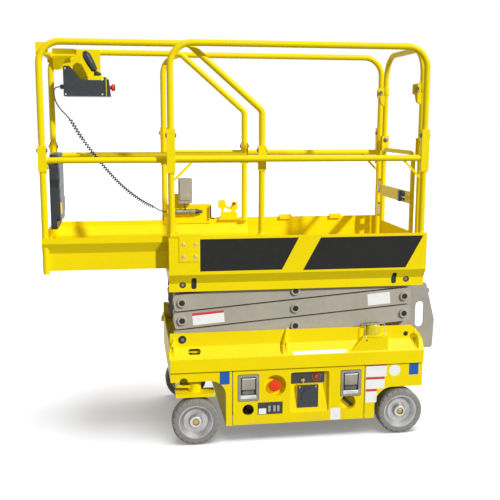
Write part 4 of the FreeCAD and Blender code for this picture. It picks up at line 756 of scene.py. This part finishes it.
def tread(node, top, body, margin):
    """Raised lozenges of a chequered floor plate, every other one turned."""
    low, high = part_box(node)
    centre = (low + high) / 2
    rows = int((high.x - low.x - margin) / LOZENGE_PITCH)
    places = int((high.y - low.y - margin) / LOZENGE_PITCH)
    shape = bmesh.new()
    for row in range(rows):
        for place in range(places):
            x = centre.x + (row - (rows - 1) / 2) * LOZENGE_PITCH
            y = centre.y + (place - (places - 1) / 2) * LOZENGE_PITCH
            lean = math.radians(45 if (row + place) % 2 else -45)
            prism(shape, LOZENGE, -0.0003, 0.0012, facing("Z", (x, y, top)) @ Matrix.Rotation(lean, 4, "Z"))
    piece("tread_" + body, body, YELLOW, shape)


tread("platform_deck", 0.878, "platform", 0.1)
tread("extension_deck", 0.894, "extension", 0.08)


# ---- beacon
def beacon_pieces():
    """Domed oval lens with moulded rings on a yellow foot, under a bent wire guard."""
    low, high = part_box("beacon")
    x = along(0.382)
    oval = facing("Z", (x, -0.3577, low.z)) @ Matrix.Diagonal((0.04, 0.02, 1.0, 1.0))
    shape = bmesh.new()
    lathed(shape, [(1.0, 0.004), (1.0, 0.018), (0.97, 0.021), (0.95, 0.034), (0.9, 0.048), (0.8, 0.058),
                   (0.62, 0.0635), (0.3, 0.0655), (0.01, 0.066)], oval, 48)
    for height, wide in ((0.026, 0.965), (0.033, 0.95), (0.04, 0.925)):
        lathed(shape, [(wide - 0.03, height - 0.0018), (wide + 0.02, height), (wide - 0.03, height + 0.0018)],
               oval, 48, caps=False)
    piece("beacon_lens", "chassis", LENS, shape, replaces="beacon")
    shape = bmesh.new()
    prism(shape, rounded(low.x, high.x, -0.3785, -0.3455, 0.008), low.z, low.z + 0.005)
    lathed(shape, [(1.06, 0.0), (1.06, 0.006), (1.02, 0.008), (0.9, 0.008)], oval, 48)
    piece("lamp_foot", "chassis", YELLOW, shape)
    shape = bmesh.new()
    foot, top, near, far = low.z + 0.005, low.z + 0.0705, -0.3775, -0.338
    for y in (near, far):
        line = [(x - 0.044, y, foot), (x - 0.053, y, foot), (x - 0.052, y, top), (x + 0.052, y, top),
                (x + 0.053, y, foot), (x + 0.044, y, foot)]
        swept(shape, arc_points(line, 0.012), 0.0019)
    for offset in (-0.018, 0.018):
        swept(shape, [Vector((x + offset, near, top)), Vector((x + offset, far, top))], 0.0016)
    piece("beacon_guard", "chassis", ZINC, shape)


beacon_pieces()


# ---- guard rails
HOOP_ENDS = (along(-0.6385), along(0.6145))
EXTENSION_POSTS = (along(-1.2365), along(-0.192))
HOOP_Y, EXTENSION_RAIL_Y = 0.3545, 0.294
REAR_LEG_X, REAR_LEG_Y = along(0.6215), 0.285
POST_FACE = 0.0195


def bead_ring(shape, frame, radius, size=0.0028):
    """Weld bead round a tube where it meets a flat face."""
    lathed(shape, [(radius - 0.0006, -0.0004), (radius + size, -0.0004), (radius + size * 0.8, size * 0.5),
                   (radius + size * 0.3, size * 0.9), (radius - 0.0006, size)], frame, 28, caps=False)


def post_joints(beads, heads, posts, y, rail_z, bead, bolt_z):
    """Beads at the ends of a rail between two posts, and the folding bolt through each post."""
    for x, inward in zip(posts, (1, -1)):
        bead_ring(beads, facing("X", (x + inward * (POST_FACE + 0.0001), y, rail_z), inward), bead)
        for way in (1, -1):
            hex_head(heads, facing("X", (x + way * POST_FACE, y, bolt_z), way), 0.0165, 0.0062)


def rail_details():
    """Weld beads and folding bolts of the guard rails."""
    beads, heads = bmesh.new(), bmesh.new()
    for side in (-1, 1):
        post_joints(beads, heads, HOOP_ENDS, side * HOOP_Y, 1.427, 0.0155, 1.537)
        # bead at each rear post's foot, and the bolts outside and inside it
        bead_ring(beads, facing("Z", (REAR_LEG_X, side * REAR_LEG_Y, 0.8785)), 0.0145, 0.0032)
        for way in (1, -1):
            bolt = (REAR_LEG_X, side * (REAR_LEG_Y + way * 0.0205), 1.5)
            hex_head(heads, facing("Y", bolt, side * way), 0.018, 0.006)
    piece("rail_beads", "platform", YELLOW, beads)
    piece("rail_bolts", "platform", DARK_STEEL, heads)
    beads, heads = bmesh.new(), bmesh.new()
    for side in (-1, 1):
        y = side * EXTENSION_RAIL_Y
        post_joints(beads, heads, EXTENSION_POSTS, y, 1.419, 0.0145, 1.465)
        bead_ring(beads, facing("Y", (EXTENSION_POSTS[0], y - side * 0.0135, 1.38), -side), 0.0145, 0.0032)
        bead_ring(beads, facing("Z", (EXTENSION_POSTS[1], y, 1.0522)), 0.0155, 0.0032)
    piece("extension_beads", "extension", YELLOW, beads)
    piece("extension_bolts", "extension", DARK_STEEL, heads)


def hoop_brackets():
    """Small pin brackets inside the rear hoop's legs, with the seam of its upper half."""
    plates, pins = bmesh.new(), bmesh.new()
    x = REAR_LEG_X
    for side in (-1, 1):
        y = side * REAR_LEG_Y
        outline = [(x - 0.05, 1.788), (x - 0.01, 1.796), (x - 0.01, 1.69), (x - 0.03, 1.7),
                   (x - 0.038, 1.738), (x - 0.05, 1.742)]
        for offset in (-0.009, 0.009):
            prism(plates, outline, -0.0018, 0.0018, wall(-1, -y - offset))
        lathed(plates, [(0.0144, -0.024), (0.0172, -0.024), (0.0176, -0.022), (0.0176, 0.022), (0.0172, 0.024),
                        (0.0144, 0.024)], facing("Z", (x, y, 1.775)), 32, caps=False)
        lathed(pins, [(0.0052, -0.018), (0.0058, -0.017), (0.0058, 0.017), (0.0095, 0.0175), (0.0095, 0.0215),
                      (0.0075, 0.023)], facing("Y", (x - 0.036, y, 1.766), -1), 20)
        ring = [(x - 0.036 + 0.0105 * cosine, y - 0.0195, 1.757 + 0.0105 * sine) for cosine, sine in turns(24)]
        swept(pins, ring + ring[:1], 0.0012)
    piece("hoop_brackets", "rear_rail", YELLOW, plates, 0.0004)
    piece("hoop_pins", "rear_rail", DARK_STEEL, pins)


def bracket_bolts():
    """Bolts on the plates that hold the front posts."""
    shape = bmesh.new()
    for side in (-1, 1):
        for x in (-0.587, -0.5272):
            for z in (0.9577, 1.0175):
                hex_head(shape, outward(side, along(x), 0.3789, z), 0.015, 0.004)
    piece("bracket_bolts", "platform", BRASS, shape)


def gate_fittings():
    """Hinges on the gate's post and the sprung latch on its bar plate."""
    face, hinge_y = along(0.5875), 0.254
    knuckles = []
    for start, end in ((0.0, 0.0195), (0.0205, 0.0395), (0.0405, 0.06)):
        knuckles += [(0.007, start), (0.0078, start + 0.001), (0.0078, end - 0.001), (0.007, end)]
    shape = bmesh.new()
    for z in (1.075, 1.21):
        lathed(shape, knuckles, facing("Z", (face, hinge_y, z)), 24, caps=False)
        prism(shape, rounded(hinge_y - 0.0235, hinge_y - 0.001, z + 0.002, z + 0.058, 0.003), -0.0046, -0.0031,
              across(face))
    piece("gate_hinges", "gate", ZINC, shape)
    back = across(face, -1)
    shape = bmesh.new()
    prism(shape, rounded(0.098, 0.172, 1.194, 1.244, 0.005), -0.0005, 0.006, back, 0.0015)
    prism(shape, rounded(0.112, 0.136, 1.188, 1.247, 0.004), 0.005, 0.018, back, 0.003)
    prism(shape, rounded(0.146, 0.154, 1.2, 1.238, 0.003), 0.005, 0.012, back, 0.001)
    piece("gate_latch", "gate", BLACK_PLASTIC, shape, 0.0004)
    shape = bmesh.new()
    lathed(shape, [(0.0038, -0.03), (0.0038, 0.06), (0.003, 0.062)],
           facing("Y", (face - 0.0075, -0.172, 1.215), -1), 16)
    for y in (-0.104, -0.166):
        for z in (1.2, 1.238):
            hex_head(shape, facing("X", (face - 0.006, y, z), -1), 0.0065, 0.0022, washer=False)
    piece("gate_bolt", "gate", ZINC, shape)


rail_details()
hoop_brackets()
bracket_bolts()
gate_fittings()


# ---- platform control
def control_pieces():
    """Face strip, stop, folded boot and stick, top plate and screws of the platform control box."""
    y, low = 0.199, 1.728
    single("control_strip", "extension", YELLOW, prism,
           rounded(y - 0.0795, y + 0.0795, low - 0.001, low + 0.0985, 0.004), -0.0002, 0.0032,
           across(along(-0.944)), bevel=0.0004)
    single("control_stop", "extension", RED_PLASTIC, lathed,
           [(0.0095, -0.004), (0.0095, 0.003), (0.015, 0.0045), (0.0185, 0.0075), (0.0185, 0.0135),
            (0.0165, 0.0175), (0.0105, 0.0205), (0.0004, 0.0212)],
           facing("X", (along(-0.9215), y, low + 0.048)), 36)
    shape = bmesh.new()
    stick = facing("Z", (along(-0.988), y, low + 0.109)) @ Matrix.Rotation(math.radians(-28), 4, "Y")
    lathed(shape, [(0.0225, -0.004), (0.024, -0.001), (0.0205, 0.002), (0.0215, 0.005), (0.0175, 0.008),
                   (0.018, 0.011), (0.0135, 0.014), (0.014, 0.017), (0.0098, 0.02), (0.0086, 0.026)],
           stick, 32, caps=False)
    for step in range(5):
        edge, height = 0.018 + 0.0006 * step, 0.05 + 0.012 * step
        lathed(shape, [(edge, height - 0.002), (0.0205 + 0.0004 * step, height), (edge, height + 0.002)],
               stick, 28, caps=False)
    lathed(shape, [(0.0125, 0.136), (0.0118, 0.1385), (0.0085, 0.1402), (0.0004, 0.1405)], stick, 28)
    piece("stick_boot", "extension", BLACK_PLASTIC, shape)
    single("stick_plate", "extension", YELLOW, prism,
           rounded(along(-1.0375), along(-0.9525), y - 0.0758, y + 0.0758, 0.004), low + 0.083, low + 0.104,
           edge=0.002, bevel=0.0006)
    shape = bmesh.new()
    for x, z in ((-1.15, 0.01), (-1.15, 0.14), (-0.964, 0.01), (-0.964, 0.084)):
        lathed(shape, [(0.0045, 0), (0.0045, 0.0012), (0.003, 0.0018)], nearward(x, y - 0.0752, low + z), 16)
    for x in (-1.052, -1.082):
        lathed(shape, [(0.006, 0), (0.006, 0.006), (0.0045, 0.0075)],
               facing("Z", (along(x), y - 0.035, low + 0.084)), 20)
    piece("box_screws", "extension", ZINC, shape)


def paper_box_pieces():
    """Webbing strap, its tab and the lid of the document box."""
    low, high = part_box("document_box")
    front = high.x + 0.0142
    shape = bmesh.new()
    for out in (0.0012, 0.0):
        back, nose = low.x + 0.0015, front - 0.0012 + out
        strap = [(back, high.y + out), (nose, high.y + out), (nose, low.y - out), (back, low.y - out)]
        skin(shape, [[Vector((x, y, z)) for x, y in (strap if out else strap[::-1])] for z in (1.137, 1.208)],
             closed_round=False, caps=False)
    piece("box_strap", "extension", BLACK_PLASTIC, shape)
    shape = bmesh.new()
    prism(shape, rounded(low.y + 0.004, high.y - 0.004, low.z + 0.04, high.z - 0.004, 0.016), -0.01, 0.012,
          across(high.x), 0.004)
    for top in (high.z - 0.03, high.z - 0.125, high.z - 0.22):
        prism(shape, rounded(low.y + 0.03, high.y - 0.03, top - 0.075, top, 0.008), 0.01, 0.0135,
              across(high.x), 0.0015)
    prism(shape, rounded(low.x + 0.002, high.x + 0.009, low.y + 0.006, high.y - 0.006, 0.006),
          high.z - 0.003, high.z + 0.04, edge=0.004)
    piece("box_lid", "extension", BLACK_PLASTIC, shape, 0.0006)
    single("strap_tab", "extension", YELLOW, prism, rounded(low.y + 0.01, low.y + 0.075, 1.145, 1.2, 0.006),
           0.0, 0.0028, across(front), 0.0008)


def socket_pieces():
    """Ribbed plug, cable and clamp of the cord's socket, and the plates and knob of the extension's release."""
    profile = [(0.0135, 0.0)]
    for start in (0.004, 0.013, 0.022, 0.031, 0.04, 0.049):
        profile += [(0.0146, start), (0.0154, start + 0.0015), (0.0154, start + 0.0055),
                    (0.0146, start + 0.007)]
    profile += [(0.0142, 0.062), (0.0142, 0.084), (0.016, 0.086), (0.016, 0.1), (0.0142, 0.102),
                (0.0142, 0.1145)]
    single("socket_plug", "extension", LATCH_GREY, lathed, profile,
           facing("X", (along(-0.585), 0.288, 1.1)), 36)
    shape = bmesh.new()
    lathed(shape, [(0.015, 0.0), (0.015, 0.008), (0.0128, 0.012), (0.0075, 0.034), (0.0068, 0.04)],
           facing("X", (along(-0.471), 0.288, 1.1)), 28)
    swept(shape, arc_points([(along(-0.531), 0.285, 1.152), (along(-0.535), 0.276, 1.136),
                             (along(-0.528), 0.274, 1.12), (along(-0.5275), 0.279, 1.11)], 0.012), 0.0036)
    plate(shape, (-0.3885, -0.3805, 1.061, 1.134), 0.002, -0.294, -0.284, edge=0.001)
    piece("socket_cable", "extension", BLACK_PLASTIC, shape)
    single("latch_base", "extension", YELLOW, plate, (-0.3265, -0.23, 1.056, 1.096), 0.006, -0.3, -0.292,
           edge=0.001)
    single("latch_knob", "extension", DULL_RED, lathed,
           [(0.0035, -0.003), (0.0035, 0.004), (0.008, 0.0055), (0.0088, 0.009), (0.007, 0.0125),
            (0.0004, 0.0135)], nearward(-0.2515, 0.292, 1.143), 24)
    single("wall_plate", "extension", YELLOW, plate, (-0.3235, -0.185, 0.969, 1.0145), 0.003, -0.317, -0.311,
           edge=0.001)
    shape = bmesh.new()
    for x, z in ((-0.302, 1.0005), (-0.2437, 1.0016)):
        hex_head(shape, nearward(x, 0.3112, z), 0.01, 0.004)
    piece("wall_bolts", "extension", BRASS, shape)


control_pieces()
paper_box_pieces()
socket_pieces()


# ---- curly cord
CORD_RADIUS = 0.011
WIRE_RADIUS = 0.0031
STATIONS = 900
TAIL, SHORT_TAIL = 0.205, 0.07
COIL_FADE = 0.02
TOP_PITCH, PITCH_DROP = 0.0178, 0.0062
CORD_ROUTE = [
    (-1.1823, 0.199, 1.778), (-1.212, 0.199, 1.778), (-1.217, 0.202, 1.738), (-1.207, 0.205, 1.696),
    (-1.186, 0.208, 1.662), (-1.158, 0.211, 1.634), (-1.131, 0.214, 1.6), (-1.09, 0.219, 1.524),
    (-1.03, 0.226, 1.438), (-0.966, 0.234, 1.354), (-0.888, 0.243, 1.263), (-0.806, 0.254, 1.191),
    (-0.73, 0.268, 1.14), (-0.693, 0.28, 1.126), (-0.664, 0.286, 1.104), (-0.6313, 0.286, 1.104),
]


def spline_curve(name, points, thickness=0.0):
    """Curve of one open NURBS spline through its two ends."""
    data = bpy.data.curves.new(name, "CURVE")
    data.dimensions = "3D"
    data.resolution_u = 3 if thickness else 8
    spline = data.splines.new("NURBS")
    spline.points.add(len(points) - 1)
    for point, place in zip(spline.points, points):
        point.co = (*place, 1.0)
    spline.order_u = 3
    spline.use_endpoint_u = True
    data.bevel_depth = thickness
    data.bevel_resolution = 3
    return placed(name, data)


def route_line(points):
    """Points along the smooth line of a route."""
    guide = spline_curve("route_guide", points)
    mesh = bpy.data.meshes.new_from_object(guide)
    line = [vertex.co.copy() for vertex in mesh.vertices]
    bpy.data.meshes.remove(mesh)
    bpy.data.objects.remove(guide)
    return line


def spaced(line, count):
    """This many evenly spaced points on the line, each with its direction and distance, and the line's length."""
    lengths = [0.0]
    for before, here in zip(line, line[1:]):
        lengths.append(lengths[-1] + (here - before).length)
    found, index = [], 0
    for number in range(count):
        distance = lengths[-1] * number / (count - 1)
        while index < len(line) - 2 and lengths[index + 1] < distance:
            index += 1
        span = line[index + 1] - line[index]
        share = (distance - lengths[index]) / span.length
        found.append((line[index] + span * share, span.normalized(), distance))
    return found, lengths[-1]


def clamped(value):
    """The value, kept between 0 and 1."""
    return min(max(value, 0.0), 1.0)


def curly_cord():
    """The platform control's cord: a plain tail, a coil stretched more at its top, and a short tail."""
    route = [Vector((along(x), y, z)) for x, y, z in CORD_ROUTE]
    stations, whole = spaced(route_line(route), STATIONS)
    coil_start, coil_end = TAIL, whole - SHORT_TAIL
    coil_radius = CORD_RADIUS - WIRE_RADIUS - 0.0003
    points, phase = [], 0.0
    side = Vector((0, 1, 0))
    for place, ahead, distance in stations:
        side = (side - ahead * side.dot(ahead)).normalized()
        up = ahead.cross(side)
        inside = clamped((distance - coil_start) / COIL_FADE) * clamped((coil_end - distance) / COIL_FADE)
        grown = coil_radius * inside * inside * (3 - 2 * inside)
        pitch = TOP_PITCH - PITCH_DROP * clamped((distance - coil_start) / (coil_end - coil_start))
        if coil_start < distance < coil_end:
            phase += 2 * math.pi * (whole / (STATIONS - 1)) / pitch
        points.append(place + (side * math.cos(phase) + up * math.sin(phase)) * grown)
    cord = spline_curve("curly_cord", points, WIRE_RADIUS)
    cord.data.materials.append(CORD_RUBBER)
    # the smooth wire is a little shorter than the straight lines between its points
    length = sum((here - before).length for before, here in zip(points, points[1:]))
    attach(cord, "extension")
    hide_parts("control_cord")
    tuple(points[0])


curly_cord()


# ---- stage, light and camera
AMBIENT = 0.38
FLOOR_REACH = 60.0
EYE = (along(-0.838), -4.087, 1.61)
YAW, PITCH, ROLL = 0.154, -0.1647, 0.0037
SENSOR, LENS_SENSORS = 36.0, 1.5646


def is_seen(finish):
    """1 for what the camera, a reflection or clear plastic sees."""
    def ray(kind):
        return finish.add("LightPath", out=kind)
    return ray("Is Camera Ray").at_least(ray("Is Glossy Ray")).at_least(ray("Is Transmission Ray"))


def studio_floor():
    """Wide pale floor that keeps the lift's soft shadow."""
    mesh = bpy.data.meshes.new("floor")
    corners = ((-1, -1), (1, -1), (1, 1), (-1, 1))
    mesh.from_pydata([(x * FLOOR_REACH, y * FLOOR_REACH, -0.001) for x, y in corners], [], [(0, 1, 2, 3)])
    finish = Finish("floor_paint")
    bounce = finish.add("BsdfDiffuse", {"Color": (0.15, 0.15, 0.15, 1.0), "Roughness": 0.5})
    matt = finish.add("BsdfDiffuse", {"Color": (0.9, 0.9, 0.92, 1.0), "Roughness": 0.5})
    glow = finish.add("Emission", {"Color": (1.0, 1.0, 1.0, 1.0), "Strength": 0.2})
    shown = finish.add("AddShader", {0: matt, 1: glow})
    mesh.materials.append(finish.end(finish.add("MixShader", {0: is_seen(finish), 1: bounce, 2: shown})))
    placed("floor", mesh)


def studio_world():
    """White surround for the eye, softer as a light."""
    world = bpy.data.worlds.new("studio")
    bpy.context.scene.world = world
    finish = Finish("studio", world)
    level = is_seen(finish) * (1 - AMBIENT) + AMBIENT
    finish.end(finish.add("Background", {"Color": (1.0, 1.0, 1.0, 1.0), "Strength": level}))


def sun(name, towards, strength, width, floor_state):
    """Far lamp in a direction, this many degrees wide, that lights the floor only or all but the floor."""
    data = bpy.data.lights.new(name, "SUN")
    data.energy = strength
    data.angle = math.radians(width)
    lamp = placed(name, data)
    lamp.rotation_euler = Vector(towards).to_track_quat("Z", "Y").to_euler()
    lit = bpy.data.collections.new(name + "_receivers")
    lit.objects.link(bpy.data.objects["floor"])
    lit.collection_objects[0].light_linking.link_state = floor_state
    lamp.light_linking.receiver_collection = lit


def camera():
    """Eye just left of the lift, a little above its deck, looking slightly right and down."""
    data = bpy.data.cameras.new("camera")
    data.sensor_width = SENSOR
    data.lens = SENSOR * LENS_SENSORS
    data.clip_end = 200.0
    eye = placed("camera", data)
    level = Matrix.Translation(EYE) @ Matrix.Rotation(-YAW, 4, "Z")
    eye.matrix_world = level @ Matrix.Rotation(math.pi / 2 + PITCH, 4, "X") @ Matrix.Rotation(ROLL, 4, "Z")
    bpy.context.scene.camera = eye


studio_floor()
studio_world()
sun("key_lamp", (0.72, -1.0, 0.82), 2.85, 2.5, "EXCLUDE")
sun("floor_lamp", (0.15, -0.1, 1.0), 3.2, 50, "INCLUDE")
camera()
bpy.context.scene.view_settings.view_transform = "Standard"
